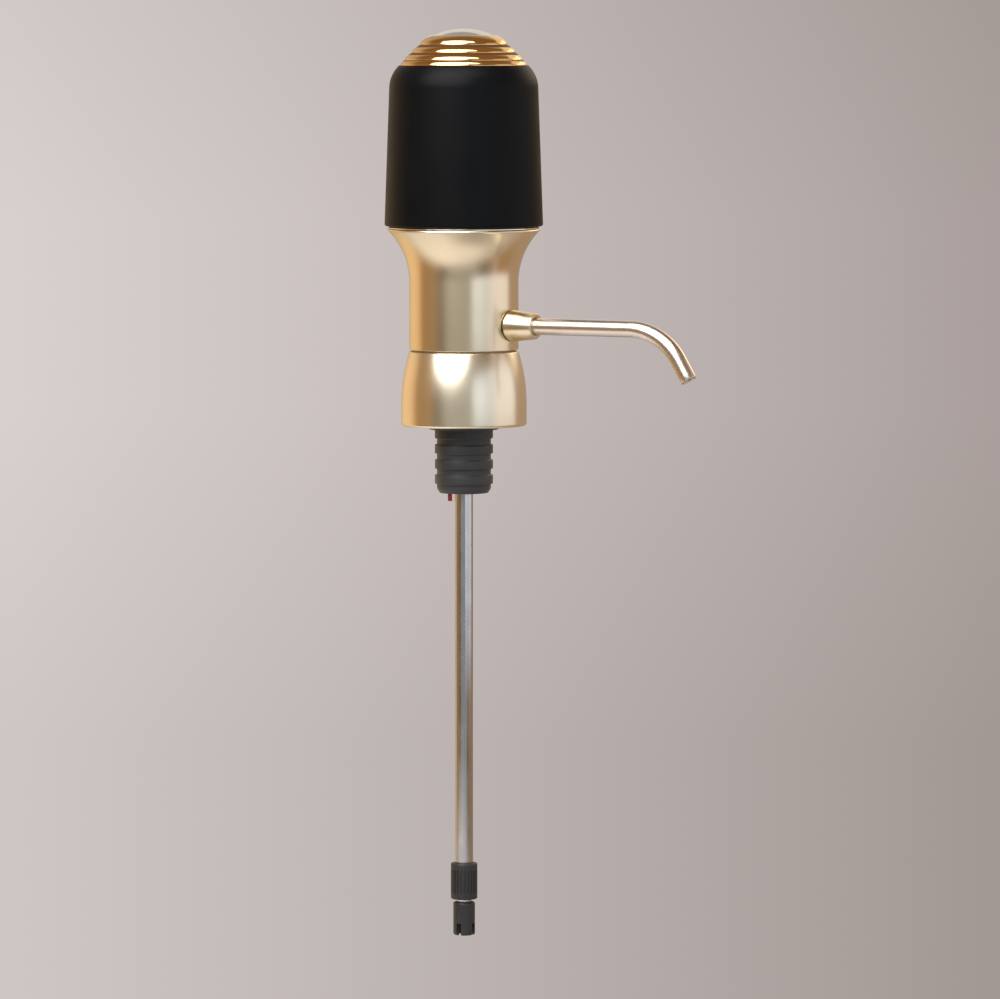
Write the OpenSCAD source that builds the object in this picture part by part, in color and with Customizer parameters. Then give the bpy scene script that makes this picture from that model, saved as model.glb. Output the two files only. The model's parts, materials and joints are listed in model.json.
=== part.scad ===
// Electric wine aerator dispenser that stands in the neck of a bottle.
// The origin is the bottle's lip, +Z points up and the spout points along +X.

/* [Bottle seat] */
// Diameter of the stopper's sealing ribs
rib_d = 19.2; // [18.6:0.1:20.4]
// Number of sealing ribs
rib_count = 4; // [2:1:5]
// Height of one rib
rib_w = 3; // [2:0.25:3.5]
// Distance from one rib to the next
rib_pitch = 5; // [4.5:0.25:6]
// Depth of the grooves between the ribs
rib_depth = 0.7; // [0.3:0.1:0.8]
// Length of the stopper below the lip
stopper_l = 21; // [20:0.5:30]
// Diameter of the stopper's seat flange
stopper_flange_d = 23.2; // [21:0.2:24]
// Thickness of the seat flange
stopper_flange_t = 1.7; // [1.3:0.1:3]
// How far the flange lifts the base ring off the lip
seat_gap = 1.2; // [0.8:0.1:1.3]

/* [Base ring] */
// Outer diameter of the bell-shaped base ring
base_d = 41.4; // [40:0.2:48]
// Height of the base ring up to the seam
base_h = 24.5; // [22:0.5:34]
// Height of its straight lower part
base_straight_h = 7; // [6:0.5:12]
// Wall of the base ring
base_wall = 1.8; // [1.2:0.1:2]
// Width of the ledge that the base plate presses on
base_ledge_w = 1; // [0.6:0.1:1.1]
// Thickness of the base plate
base_plate_t = 1.7; // [1.6:0.1:3]
// Number of air inlet holes in the base plate
vent_count = 9; // [3:3:12]
// Diameter of an air inlet hole
vent_d = 1.2; // [0.8:0.1:1.4]

/* [Waist] */
// Outer diameter of the waist
waist_d = 36; // [35:0.2:38]
// Height of its straight part above the seam
waist_straight_h = 22.7; // [21:0.1:32]
// Height of the flare
flare_h = 17; // [15:0.5:22]
// Height of the rim band under the housing
rim_h = 1.2; // [0.6:0.1:2]
// How far the rim band stands out from the flare
rim_lip = 0.25; // [0.1:0.05:0.5]
// Wall of the waist
waist_wall = 1.5; // [1.2:0.1:1.6]
// Height of the dark groove at the seam
groove_h = 0.8; // [0.4:0.1:1.5]
// Depth of that groove
groove_depth = 0.9; // [0.4:0.1:1]
// Length of the collar that plugs into the base ring
collar_l = 6; // [4:0.5:8]
// Wall of that collar
collar_wall = 1.5; // [1.2:0.1:2]

/* [Housing] */
// Wall of the housing
housing_wall = 2; // [1.6:0.1:2.4]
// Thickness of its top
housing_top_t = 2; // [1.8:0.1:3]
// How much its radius grows from the shoulder to the bottom
housing_taper = 1.6; // [1:0.1:2]
// Radius of its rounded shoulder
shoulder_round = 10.5; // [9:0.5:14]
// Height of the rounded shoulder
shoulder_h = 7.6; // [6:0.2:8]
// Gap between the housing and the rim band
housing_gap = 0.3; // [0.2:0.05:0.6]
// How far the housing stands out past the rim band
rim_step = 0.9; // [0.6:0.1:1.2]
// Turn that releases the housing, in degrees
bayonet_turn = 20; // [15:1:22]
// Width of a bayonet lug, in degrees
lug_angle = 10; // [6:1:12]
// Height of a bayonet lug
lug_h = 1.6; // [1.2:0.1:2]
// How far a lug reaches into its slot
lug_reach = 1; // [0.8:0.1:1.2]
// Height of the bayonet collar
bayonet_h = 5.8; // [5:0.1:6.5]

/* [Crown and button] */
// Height of the ribbed crown
crown_h = 10; // [9:0.5:12]
// Number of its rings
ring_count = 4; // [3:1:6]
// How much each ring is taller than the one below
ring_growth = 1.35; // [1:0.05:1.5]
// How far each ring bulges out
ring_bulge = 0.45; // [0.2:0.05:0.6]
// How far the crown's dome bulges past a straight cone
crown_bulge = 0.5; // [0.2:0.1:0.8]
// Black ledge left around the crown
crown_ledge = 0.9; // [0.5:0.1:1.5]
// Wall of the crown at its foot
crown_wall = 1.8; // [1.4:0.1:2.2]
// Thickness of the crown's top lip
crown_top_t = 1.6; // [1.2:0.1:2]
// Width of the crown's flat top lip
crown_lip_w = 0.5; // [0.3:0.1:1]
// Diameter of the push button
button_d = 20.6; // [18:0.2:21]
// How far its dome rises above its edge
button_rise = 2; // [1:0.1:3]
// Travel of the button
button_travel = 1.2; // [0.8:0.1:1.4]
// Diameter of the button's stem
stem_d = 4; // [3:0.1:4.6]
// Number of turns of the button spring
spring_turns = 6; // [4:1:7]
// Wire diameter of the button spring
spring_wire_d = 0.6; // [0.4:0.05:0.7]

/* [Spout] */
// Height of the spout's axis above the seam
spout_rise = 8.8; // [8:0.1:12]
// Outer diameter of the spout tube
spout_d = 5.5; // [5:0.1:6]
// Wall of the spout tube
spout_wall = 0.7; // [0.5:0.05:0.9]
// Distance from the main axis to the start of the bend
spout_straight = 62.5; // [50:0.5:80]
// Radius of the bend, at the tube's centre line
spout_bend_r = 21; // [14:0.5:30]
// Angle of the bend
spout_bend = 59; // [30:1:80]
// Straight length after the bend
spout_tail = 7; // [3:0.5:15]
// Diameter of the sleeve where it leaves the waist
sleeve_root_d = 11; // [10:0.1:12]
// Diameter of the sleeve at its end
sleeve_end_d = 8.4; // [8.2:0.1:9.6]
// Length of the sleeve outside the waist
sleeve_l = 9.4; // [8:0.2:14]

/* [Dip tube] */
// Outer diameter of the fixed upper tube
dip_d = 6; // [5.6:0.1:6.4]
// Wall of both tubes
dip_wall = 0.4; // [0.3:0.05:0.5]
// Length of the upper tube below the lip
dip_l = 150; // [120:1:180]
// Travel of the lower tube
dip_travel = 115; // [80:1:120]
// Overlap of the tubes at full length
dip_overlap = 28; // [20:1:40]
// Length of the strainer foot
foot_l = 11; // [8:0.5:16]
// Outer diameter of the strainer foot
foot_d = 7.2; // [6.6:0.1:8.4]

/* [Motor and pump] */
// Diameter of the motor
motor_d = 20; // [18:0.2:21]
// Length of the motor can
motor_l = 24; // [20:0.5:28]
// Diameter of the motor shaft
shaft_d = 2; // [1.5:0.1:2.3]
// Diameter of the pump
pump_d = 23; // [22.6:0.2:24]
// Radius of the circle of pump cups
cup_circle_r = 5.6; // [5.2:0.1:5.8]
// Number of pump cups
cup_count = 3; // [3:1:3]
// Tilt of the wobble plate
wobble_tilt = 6; // [3:0.5:7]

/* [Battery] */
// Diameter of a cell
cell_d = 10.5; // [10:0.1:11]
// Length of a cell
cell_l = 44.5; // [43:0.5:50]
// Thickness of the control board
board_t = 1.2; // [1:0.1:1.6]

/* [Hidden] */
$fn = 96;

// Clearances
fit = 0.05;
slip = 0.1;
free_gap = 0.3;
overshoot = 1;
edge = 0.4;
arc_steps = 14;
seal_sides = 32;

// Screws
screw_d = 1.8;
screw_head_d = 3.4;
screw_head_h = 1.2;
small_screw_d = 1.4;
small_head_d = 2.4;
screw_bite = 6;
short_bite = 2.5;
tip_room = 0.5;
cross_w = 0.5;

// Battery stack, inside out
tube_wall = 0.7;
motor_r = motor_d / 2;
cell_r = cell_d / 2;
cell_count = 4;
cell_gap = 0.15;
carrier_in_r = motor_r + free_gap;
carrier_tube_r = carrier_in_r + tube_wall;
cell_ring_r = carrier_tube_r + cell_gap + cell_r;
cell_start = 45;
cell_room = 0.85;
cell_nub_d = 3.8;
cell_nub_h = 0.8;

// Radii of the shells
shoulder_r = cell_ring_r + cell_r + cell_room + housing_wall;
housing_r = shoulder_r + housing_taper;
housing_in_r = housing_r - housing_wall;
housing_top_r = shoulder_r - shoulder_round + sqrt(pow(shoulder_round, 2) - pow(shoulder_h, 2));
rim_r = housing_r - rim_step;
waist_r = waist_d / 2;
waist_in_r = waist_r - waist_wall;
base_r = base_d / 2;
collar_r = waist_in_r - slip;
collar_in_r = collar_r - collar_wall;
crown_r = housing_top_r - crown_ledge;
button_r = button_d / 2;
button_clear = 0.15;
crown_open_r = button_r + button_clear;
crown_top_r = crown_open_r + crown_lip_w;

// Heights of the shells
z_base = seat_gap;
z_plate = stopper_flange_t;
z_plate_top = z_plate + base_plate_t;
manifold_flange_t = 2.8;
z_pillar = z_plate_top + manifold_flange_t;
z_seam = z_base + base_h;
z_collar = z_seam - collar_l;
z_waist = z_seam + groove_h;
collar_floor_t = 1.2;
z_flare = z_seam + waist_straight_h;
z_rim = z_flare + flare_h;
z_rim_top = z_rim + rim_h;
z_housing = z_rim_top + housing_gap;
z_spout = z_seam + spout_rise;

// Flare of the waist and bell of the base, both arcs with an upright tangent
flare_w = rim_r - rim_lip - waist_r;
flare_r = (pow(flare_h, 2) + pow(flare_w, 2)) / (2 * flare_w);
bell_h = base_h - base_straight_h;
bell_w = base_r - waist_r;
bell_r = (pow(bell_h, 2) + pow(bell_w, 2)) / (2 * bell_w);
function flare_at(z) = waist_r + flare_r - sqrt(pow(flare_r, 2) - pow(z - z_flare, 2));
function bell_at(z) = base_r - bell_r
    + sqrt(pow(bell_r, 2) - pow(max(0, z - z_base - base_straight_h), 2));
base_in_r = bell_at(z_collar) - base_wall;
base_recess_r = base_in_r + base_ledge_w;

// Chassis and carrier
deck_t = 2.8;
z_ledge = z_rim_top - deck_t;
deck_bore_r = flare_at(z_ledge) - waist_wall;
bayonet_gap = 0.7;
bayonet_r = housing_in_r - bayonet_gap;
bayonet_wall = 2.5;
lug_r = bayonet_r - lug_reach;
slot_r = lug_r - free_gap;
lug_start = -(bayonet_turn + lug_angle) / 2;
slot_slack = 2;
lug_rise = 2;
z_lug = z_rim_top + lug_rise;
carrier_t = 1.6;
carrier_gap = 0.3;
carrier_tube_rise = 1.2;
carrier_r = bayonet_r - bayonet_wall - carrier_gap;
carrier_hole_r = carrier_tube_r + 2 * free_gap;
post_r = 1.9;
post_ring_r = carrier_tube_r + post_r;
clamp_ring_r = post_ring_r + post_r + free_gap + screw_head_d / 2 + free_gap;
clamp_count = 2;
clamp_post_r = 2.3;
clamp_post_h = 8;

// Battery contacts and the board
contact_t = 0.4;
contact_w = 2.6;
dimple_h = 0.9;
dimple_d = 4;
contact_gap = 0.1;
z_carrier_top = z_rim_top + carrier_t;
z_cells = z_carrier_top + contact_t + dimple_h + contact_gap;
z_cells_top = z_cells + cell_l;
z_board = z_cells_top + contact_t + 2 * contact_gap;
z_board_top = z_board + board_t;
board_room = 0.5;
z_top = z_board_top + screw_head_h + board_room + housing_top_t;
z_shoulder = z_top - shoulder_h;
board_margin = 2.3;
board_r = shoulder_r - housing_wall - board_margin;

// Crown, button and switch
z_crown_top = z_top + crown_h;
z_button = z_crown_top + button_rise;
guide_t = 1.4;
z_guide_top = z_top + guide_t;
z_lip = z_crown_top - crown_top_t;
crown_in_r = crown_r - crown_wall;
crown_lip_ledge = 0.4;
crown_in_top_r = crown_top_r + crown_lip_ledge;
top_open_r = 11;
crown_screw_r = 14;
crown_screw_count = 3;
crown_screw_start = 90;
crown_post_r = 2.2;
flange_w = 0.6;
button_flange_t = 1.1;
z_button_flange = z_lip - fit - button_flange_t;
button_wall = 1.7;
cavity_drop = 0.3;
z_button_cavity = z_crown_top - cavity_drop;
switch_w = 6;
switch_h = 2.6;
plunger_d = 3.4;
plunger_l = 2.6;
plunger_out = 1.8;
z_switch_top = z_board_top + switch_h;
z_plunger_top = z_switch_top + plunger_out;
z_stem = z_plunger_top + free_gap;
hub_wall = 1;
hub_r = stem_d / 2 + slip + hub_wall;
hub_room = 1.3;
z_hub = z_button_flange - button_travel - hub_room;
spring_room = 0.7;
spring_r = hub_r + spring_room + spring_wire_d / 2;

// Pump stack, hung under the chassis
cushion_t = 1;
pump_flange_t = 1.8;
pump_foot_t = 1.8;
diaphragm_t = 1.2;
valve_plate_t = 2;
pump_head_t = 4.8;
pump_r = pump_d / 2;
pump_wall = 2.6;
pump_in_r = pump_r - pump_wall;
pump_flange_r = clamp_ring_r - clamp_post_r - free_gap;
mount_ring_r = (pump_r + pump_flange_r) / 2;
mount_count = 3;
mount_start = 90;
mount_skin = 0.6;
z_pump_flange_top = z_ledge - cushion_t;
z_pump_flange = z_pump_flange_top - pump_flange_t;
z_diaphragm_top = z_pump_flange - pump_foot_t;
z_diaphragm = z_diaphragm_top - diaphragm_t;
z_valve_plate = z_diaphragm - valve_plate_t;
z_head = z_valve_plate - pump_head_t;
head_chamber_h = 2.3;
valve_stem_r = 0.5;
barrel_step = 0.2;
barrel_r = carrier_tube_r - barrel_step;
barrel_h = 10.5;
frame_top_t = 1.5;
z_motor = z_pump_flange_top + barrel_h;
z_frame_in = z_motor - frame_top_t;
pump_screw_ring_r = pump_r - pump_wall / 2;
pump_screw_count = 3;
pump_screw_start = 30;
deck_hole_r = barrel_r + free_gap;

// Wobble drive
cup_r = 2.9;
cup_wall = 0.6;
cup_room = 0.8;
pad_t = 1.4;
pad_r = 2.6;
pad_hole_r = 1.25;
cup_stem_r = 0.9;
bulb_r = 1.5;
bulb_h = 0.7;
wobble_hub_r = 2.4;
wobble_hub_h = 2.8;
wobble_pin_r = 0.7;
wobble_pin_l = 5.9;
arm_w = 3;
cup_h = 3.4;
z_wobble = z_diaphragm_top + cup_h;
wheel_r = 4.2;
wheel_h = 4.2;
wheel_gap = 1;
z_wheel = z_wobble + wobble_hub_h + wheel_gap;
wheel_floor_t = 2.8;
z_shaft = z_wheel + wheel_floor_t;

// Motor
can_wall = 0.7;
can_front_t = 1;
motor_boss_r = 3;
motor_boss_h = frame_top_t - slip;
motor_screw_ring_r = 6.5;
motor_screw_count = 2;
motor_screw_start = 90;
end_cap_t = 2.5;
magnet_t = 1.1;
magnet_angle = 130;
armature_gap = 0.6;
armature_l = 15;
armature_start = 5;
z_end_cap = z_motor + motor_l;
z_end_cap_top = z_end_cap + end_cap_t;
terminal_h = 2.2;
terminal_x = 4;
lead_r = 0.6;
lead_sway = 1.5;
lead_rings = 10;
lead_sides = 8;

// Manifold, air path and spout socket
dip_r = dip_d / 2;
dip_in_r = dip_r - dip_wall;
lower_r = dip_in_r - slip - fit;
lower_in_r = lower_r - dip_wall;
dip_socket = 7.8;
seal_r = 0.42;
seal_gap = 0.03;
groove_slack = 0.5;
dip_groove_r = dip_r + 2 * (seal_r + seal_gap);
z_dip_groove = -4;
air_r = 0.85;
air_wall = 0.6;
air_x = dip_groove_r + air_wall + air_r;
spigot_wall = 0.85;
spigot_r = air_x + air_r + spigot_wall;
wine_r = 2.3;
spout_r = spout_d / 2;
spout_in_r = spout_r - spout_wall;
shank_wall = 1.25;
shank_r = spout_r + shank_wall;
port_wall = 1.55;
port_r = shank_r + port_wall;
port_end = sqrt(pow(waist_in_r - free_gap, 2) - pow(port_r, 2));
shank_l = 6.4;
shank_start = port_end - shank_l;
spout_reach = 1.8;
spout_start = shank_start - spout_reach;
socket_end_gap = 0.2;
port_cap = 0.5;
z_column = z_spout + port_r + port_cap;
nipple_r = 1.8;
nipple_gap = 0.6;
nipple_h = (z_head - z_column - nipple_gap) / 2;
hose_wall = 1.15;
hose_gap = 0.2;
pillar_r = 2.2;
pillar_count = 3;
pillar_start = 60;
pillar_sink = 1;
pillar_ring_r = collar_in_r - pillar_r + pillar_sink;
flange_margin = 0.6;
manifold_flange_r = pillar_ring_r + pillar_r + flange_margin;
bead_h = 0.45;
bead_l = 1.2;
z_bead = -16;
valve_r = 1.15;
valve_l = 1.5;
valve_bill_l = 3;
valve_bill_w = 0.8;

// Spout sleeve
sleeve_end = waist_r + sleeve_l;
spout_seal_r = 0.33;
spout_groove_r = spout_r + 2 * (spout_seal_r + seal_gap);
spout_groove_w = 1.2;
spout_groove_back = 5;
spout_groove_x = sleeve_end - spout_groove_back;
mouth_gap = 0.45;
mouth_r = spout_r + mouth_gap;
mouth_l = 1.2;

// Dip tube collar and foot
tube_collar_wall = 1.4;
tube_collar_r = dip_r + tube_collar_wall;
tube_collar_up = 6;
tube_collar_down = 6;
z_dip_end = -dip_l;
z_collar_end = z_dip_end - tube_collar_down;
collar_groove_r = lower_r + slip + 2 * seal_r;
z_collar_groove = z_dip_end - tube_collar_down / 2;
foot_gap = 1;
z_foot_top = z_collar_end - foot_gap;
z_foot = z_foot_top - foot_l;
foot_socket = 5;
z_lower_end = z_foot_top - foot_socket;
z_lower_top = z_dip_end + dip_overlap + dip_travel;
foot_slot_w = 1.6;
foot_slot_h = 4;

vent_ring_r = (base_in_r + manifold_flange_r) / 2;

// Points along an arc from angle a to angle b
function arc_points(x, z, r, a, b) =
    [for (i = [0 : arc_steps]) let (t = a + (b - a) * i / arc_steps) [x + r * cos(t), z + r * sin(t)]];

// Share of the crown's slope below ring number i
function ring_share(i) = ring_growth == 1
    ? i / ring_count
    : (pow(ring_growth, i) - 1) / (pow(ring_growth, ring_count) - 1);

// Point on the crown's smooth dome at share t of its slope
function dome_point(t) = let (
    run = [crown_top_r - crown_r, crown_h],
    out = [crown_h, crown_r - crown_top_r] / norm(run)
) [crown_r, z_top] + run * t + out * crown_bulge * 4 * t * (1 - t);

// Points of one bulging ring of the crown
ring_steps = 8;
function ring_points(i) = let (
    low = dome_point(ring_share(i)),
    high = dome_point(ring_share(i + 1)),
    run = high - low,
    out = [run[1], -run[0]] / norm(run)
) [for (k = [0 : ring_steps - 1]) let (t = k / ring_steps) low + run * t + out * ring_bulge * sin(180 * t)];

// Solid of revolution about the main axis from [radius, height] points
module lathe(points) {
    rotate_extrude() polygon(points);
}

// Round bar between two heights
module bar(r, low, high) {
    translate([0, 0, low]) cylinder(r = r, h = high - low);
}

// Children copied around the main axis on a circle
module around(count, r, start = 0) {
    for (i = [0 : count - 1])
        rotate([0, 0, start + 360 * i / count]) translate([r, 0, 0]) children();
}

// Cutting bar that runs past both heights
module hole(r, low, high) {
    bar(r, low - overshoot, high + overshoot);
}

// Child turned so that its own +Z points along the spout's axis
module along_spout() {
    translate([0, 0, z_spout]) rotate([0, 90, 0]) children();
}

// Sector of a ring about the main axis
module sector(r_in, r_out, low, high, start, angle) {
    rotate([0, 0, start]) rotate_extrude(angle = angle)
        translate([r_in, low]) square([r_out - r_in, high - low]);
}

// Round seal about the main axis
module seal(r, section) {
    rotate_extrude() translate([r, 0]) circle(r = section, $fn = seal_sides);
}

// Screw with its head's underside at the origin and its shank pointing down
module screw(shank_l, shank_d, head_d) {
    difference() {
        union() {
            translate([0, 0, -shank_l]) cylinder(d = shank_d, h = shank_l);
            cylinder(d = head_d, h = screw_head_h);
        }
        for (a = [0, 90]) rotate([0, 0, a])
            translate([-head_d / 3, -cross_w / 2, screw_head_h / 2])
                cube([head_d * 2 / 3, cross_w, screw_head_h]);
    }
}

// Same screw driven upward from below
module screw_up(shank_l, shank_d, head_d) {
    rotate([180, 0, 0]) screw(shank_l, shank_d, head_d);
}

// Closed tube through rings of points with the same number of sides
module skin(rings) {
    n = len(rings);
    s = len(rings[0]);
    points = [for (ring = rings) each ring];
    sides = [for (i = [0 : n - 2]) for (k = [0 : s - 1]) let (
        a = i * s + k,
        b = i * s + (k + 1) % s
    ) each [[a, a + s, b], [b, a + s, b + s]]];
    low = [for (k = [1 : s - 2]) [0, k, k + 1]];
    high = [for (k = [1 : s - 2]) [(n - 1) * s, (n - 1) * s + k + 1, (n - 1) * s + k]];
    polyhedron(points, concat(low, sides, high));
}

// Places of the fasteners and cells

module at_crown_screws() {
    around(crown_screw_count, crown_screw_r, crown_screw_start) children();
}

module at_clamps() {
    around(clamp_count, clamp_ring_r) children();
}

module at_posts() {
    around(cell_count, post_ring_r) children();
}

module at_cells() {
    around(cell_count, cell_ring_r, cell_start) children();
}

module at_motor_screws() {
    around(motor_screw_count, motor_screw_ring_r, motor_screw_start) children();
}

module at_pump_screws() {
    around(pump_screw_count, pump_screw_ring_r, pump_screw_start) children();
}

module at_mounts() {
    around(mount_count, mount_ring_r, mount_start) children();
}

module at_pillars() {
    around(pillar_count, pillar_ring_r, pillar_start) children();
}

// Button, crown and spring

module push_button() {
    dome_r = (pow(button_r, 2) + pow(button_rise, 2)) / (2 * button_rise);
    dome = arc_points(0, z_button - dome_r, dome_r, acos(button_r / dome_r), 90);
    color("silver") lathe(concat(
        [[0, z_stem], [stem_d / 2, z_stem], [stem_d / 2, z_button_cavity],
         [button_r - button_wall, z_button_cavity], [button_r - button_wall, z_button_flange],
         [button_r + flange_w, z_button_flange], [button_r + flange_w, z_button_flange + button_flange_t],
         [button_r, z_button_flange + button_flange_t]],
        [for (i = [0 : arc_steps - 1]) dome[i]],
        [[0, z_button]]
    ));
}

module crown() {
    shell_mid = 0.8;
    color("goldenrod") difference() {
        union() {
            lathe(concat(
                [for (i = [0 : ring_count - 1]) each ring_points(i)],
                [[crown_top_r, z_crown_top], [crown_open_r, z_crown_top], [crown_open_r, z_lip],
                 [crown_in_top_r, z_lip], [crown_in_r, z_top]]
            ));
            intersection() {
                at_crown_screws() bar(crown_post_r, z_guide_top, z_lip);
                lathe([[0, z_top], [crown_in_r + shell_mid, z_top],
                       [crown_in_top_r + shell_mid, z_lip], [0, z_lip]]);
            }
        }
        at_crown_screws()
            bar(screw_d / 2 + fit, z_guide_top - overshoot, z_guide_top + short_bite + tip_room);
    }
}

module button_guide() {
    plate_r = crown_screw_r + crown_post_r;
    color("dimgray") difference() {
        lathe([[stem_d / 2 + slip, z_top], [plate_r, z_top], [plate_r, z_guide_top],
               [hub_r, z_guide_top], [hub_r, z_hub], [stem_d / 2 + slip, z_hub]]);
        at_crown_screws()
            hole(screw_d / 2 + slip, z_top, z_guide_top);
    }
}

module button_spring() {
    wire_r = spring_wire_d / 2;
    low = z_guide_top + wire_r + fit;
    high = z_button_cavity - wire_r - fit;
    turn_steps = 8;
    steps = turn_steps * spring_turns;
    sides = 6;
    color("lightgray") skin([for (i = [0 : steps]) let (
        a = 360 * spring_turns * i / steps,
        z = low + (high - low) * i / steps
    ) [for (k = [0 : sides - 1]) let (
        b = 360 * k / sides,
        r = spring_r + wire_r * cos(b)
    ) [r * cos(a), r * sin(a), z + wire_r * sin(b)]]]);
}

module crown_screws() {
    color("darkgray") at_crown_screws()
        translate([0, 0, z_top - housing_top_t + screw_head_h])
            screw_up(housing_top_t - screw_head_h + guide_t + short_bite, screw_d, screw_head_d);
}

// Battery cover

module housing() {
    top_angle = asin(shoulder_h / shoulder_round);
    in_round = shoulder_round - housing_wall;
    in_angle = asin((shoulder_h - housing_top_t) / in_round);
    round_x = shoulder_r - shoulder_round;
    color([0.09, 0.1, 0.1]) difference() {
        union() {
            lathe(concat(
                [[housing_in_r, z_housing], [housing_r - edge, z_housing], [housing_r, z_housing + edge]],
                arc_points(round_x, z_shoulder, shoulder_round, 0, top_angle),
                [[top_open_r, z_top], [top_open_r, z_top - housing_top_t]],
                arc_points(round_x, z_shoulder, in_round, in_angle, 0)
            ));
            for (i = [0 : cell_count - 1])
                sector(lug_r, housing_in_r + housing_wall / 2, z_lug, z_lug + lug_h,
                       lug_start + 360 * i / cell_count, lug_angle);
        }
        at_crown_screws() {
            hole(screw_d / 2 + slip, z_top - housing_top_t, z_top);
            bar(screw_head_d / 2 + slip, z_top - housing_top_t - overshoot,
                z_top - housing_top_t + screw_head_h);
        }
    }
}

// Chassis and batteries

module chassis() {
    slot_low = z_lug - free_gap;
    slot_high = z_lug + lug_h + free_gap;
    bayonet_top = z_rim_top + bayonet_h;
    color([0.14, 0.14, 0.15]) difference() {
        lathe([[deck_hole_r, z_ledge], [deck_bore_r - slip, z_ledge], [deck_bore_r - slip, z_rim_top],
               [bayonet_r, z_rim_top], [bayonet_r, bayonet_top], [bayonet_r - bayonet_wall, bayonet_top],
               [bayonet_r - bayonet_wall, z_rim_top], [deck_hole_r, z_rim_top]]);
        at_cells()
            bar(cell_r + free_gap, z_cells - free_gap, bayonet_top + overshoot);
        for (i = [0 : cell_count - 1]) {
            turn = 360 * i / cell_count + lug_start - slot_slack;
            sector(slot_r, bayonet_r + overshoot, slot_low, slot_high, turn,
                   bayonet_turn + lug_angle / 2);
            sector(slot_r, bayonet_r + overshoot, slot_low, bayonet_top + overshoot,
                   turn + bayonet_turn, lug_angle + 2 * slot_slack);
        }
        at_clamps() hole(screw_d / 2 + slip, z_ledge, z_rim_top);
        at_mounts()
            bar(small_screw_d / 2 + fit, z_ledge - overshoot, z_ledge + deck_t - mount_skin);
    }
}

module clamp_screws() {
    color("darkgray") at_clamps() translate([0, 0, z_carrier_top])
        screw(carrier_t + deck_t + screw_bite, screw_d, screw_head_d);
}

module battery_carrier() {
    tube_low = z_motor + carrier_tube_rise;
    color([0.2, 0.2, 0.21]) difference() {
        union() {
            lathe([[carrier_hole_r, z_rim_top], [carrier_r, z_rim_top],
                   [carrier_r, z_carrier_top], [carrier_hole_r, z_carrier_top]]);
            lathe([[carrier_in_r, tube_low], [carrier_tube_r, tube_low],
                   [carrier_tube_r, z_cells_top], [carrier_in_r, z_cells_top]]);
            at_posts() bar(post_r, z_carrier_top - carrier_t, z_board);
            around(cell_count, carrier_tube_r - tube_wall / 2)
                translate([0, -post_r / 2, tube_low]) cube([post_r, post_r, z_cells_top - tube_low]);
        }
        at_posts() bar(small_screw_d / 2 + fit, z_board - screw_bite, z_board + overshoot);
        bar(barrel_r + free_gap, z_rim_top - overshoot, tube_low);
        at_clamps() hole(screw_d / 2 + slip, z_rim_top, z_carrier_top);
    }
}

// One cell, nub up or nub down
module battery_cell(number) {
    nub_up = number % 2 == 0;
    body_low = nub_up ? z_cells : z_cells + cell_nub_h;
    color([0.72, 0.45, 0.2]) rotate([0, 0, cell_start + 360 * number / cell_count])
        translate([cell_ring_r, 0, 0]) {
            bar(cell_r, body_low, body_low + cell_l - cell_nub_h);
            bar(cell_nub_d / 2, z_cells, z_cells_top);
        }
}

module battery_cell_1() { battery_cell(0); }
module battery_cell_2() { battery_cell(1); }
module battery_cell_3() { battery_cell(2); }
module battery_cell_4() { battery_cell(3); }

// Strip that joins two cells, from one cell's angle over a sweep
module contact_strip(low, start, sweep) {
    sector(cell_ring_r - contact_w / 2, cell_ring_r + contact_w / 2, low, low + contact_t, start, sweep);
}

module lower_contacts() {
    pitch = 360 / cell_count;
    color("gainsboro") for (i = [0, 2]) {
        contact_strip(z_carrier_top, cell_start + i * pitch, pitch);
        for (k = [i, i + 1]) rotate([0, 0, cell_start + k * pitch]) translate([cell_ring_r, 0, 0])
            bar(dimple_d / 2, z_carrier_top, z_carrier_top + contact_t + dimple_h);
    }
}

module upper_contacts() {
    pitch = 360 / cell_count;
    low = z_cells_top + contact_gap;
    color("gainsboro") {
        contact_strip(low, cell_start + pitch, pitch);
        at_cells() bar(dimple_d / 2, low, low + contact_t);
    }
}

// Control board and switch

module control_board() {
    color("darkgreen") difference() {
        bar(board_r, z_board, z_board_top);
        at_posts()
            hole(small_screw_d / 2 + slip, z_board, z_board_top);
    }
}

module board_parts() {
    chip = [4.4, 3.6, 1];
    chip_at = [5.5, 4];
    diode = [2.6, 1.4, 0.9];
    diodes_at = [[-8, -6.5], [-8, 5.5]];
    capacitor_at = [7, -6];
    capacitor_r = 1.5;
    color([0.12, 0.12, 0.13]) {
        translate(concat(chip_at, z_board_top)) cube(chip);
        for (place = diodes_at) translate(concat(place, z_board_top)) cube(diode);
        translate(capacitor_at) bar(capacitor_r, z_board_top, z_board_top + screw_head_h);
    }
}

module board_screws() {
    color("darkgray") at_posts() translate([0, 0, z_board_top])
        screw(board_t + screw_bite - tip_room, small_screw_d, small_head_d);
}

module tact_switch() {
    color([0.16, 0.16, 0.17]) difference() {
        translate([-switch_w / 2, -switch_w / 2, z_board_top]) cube([switch_w, switch_w, switch_h]);
        bar(plunger_d / 2 + slip, z_plunger_top - plunger_l - button_travel - slip,
            z_switch_top + overshoot);
    }
}

module switch_plunger() {
    color("firebrick") bar(plunger_d / 2, z_plunger_top - plunger_l, z_plunger_top);
}

// Motor

module motor_can() {
    color("silver") difference() {
        union() {
            bar(motor_r, z_motor, z_end_cap);
            bar(motor_boss_r, z_motor - motor_boss_h, z_motor + can_front_t);
        }
        bar(motor_r - can_wall, z_motor + can_front_t, z_end_cap + overshoot);
        hole(shaft_d / 2 + fit, z_motor - motor_boss_h, z_motor + can_front_t);
        at_motor_screws()
            hole(small_screw_d / 2 + fit, z_motor, z_motor + can_front_t);
    }
}

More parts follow.
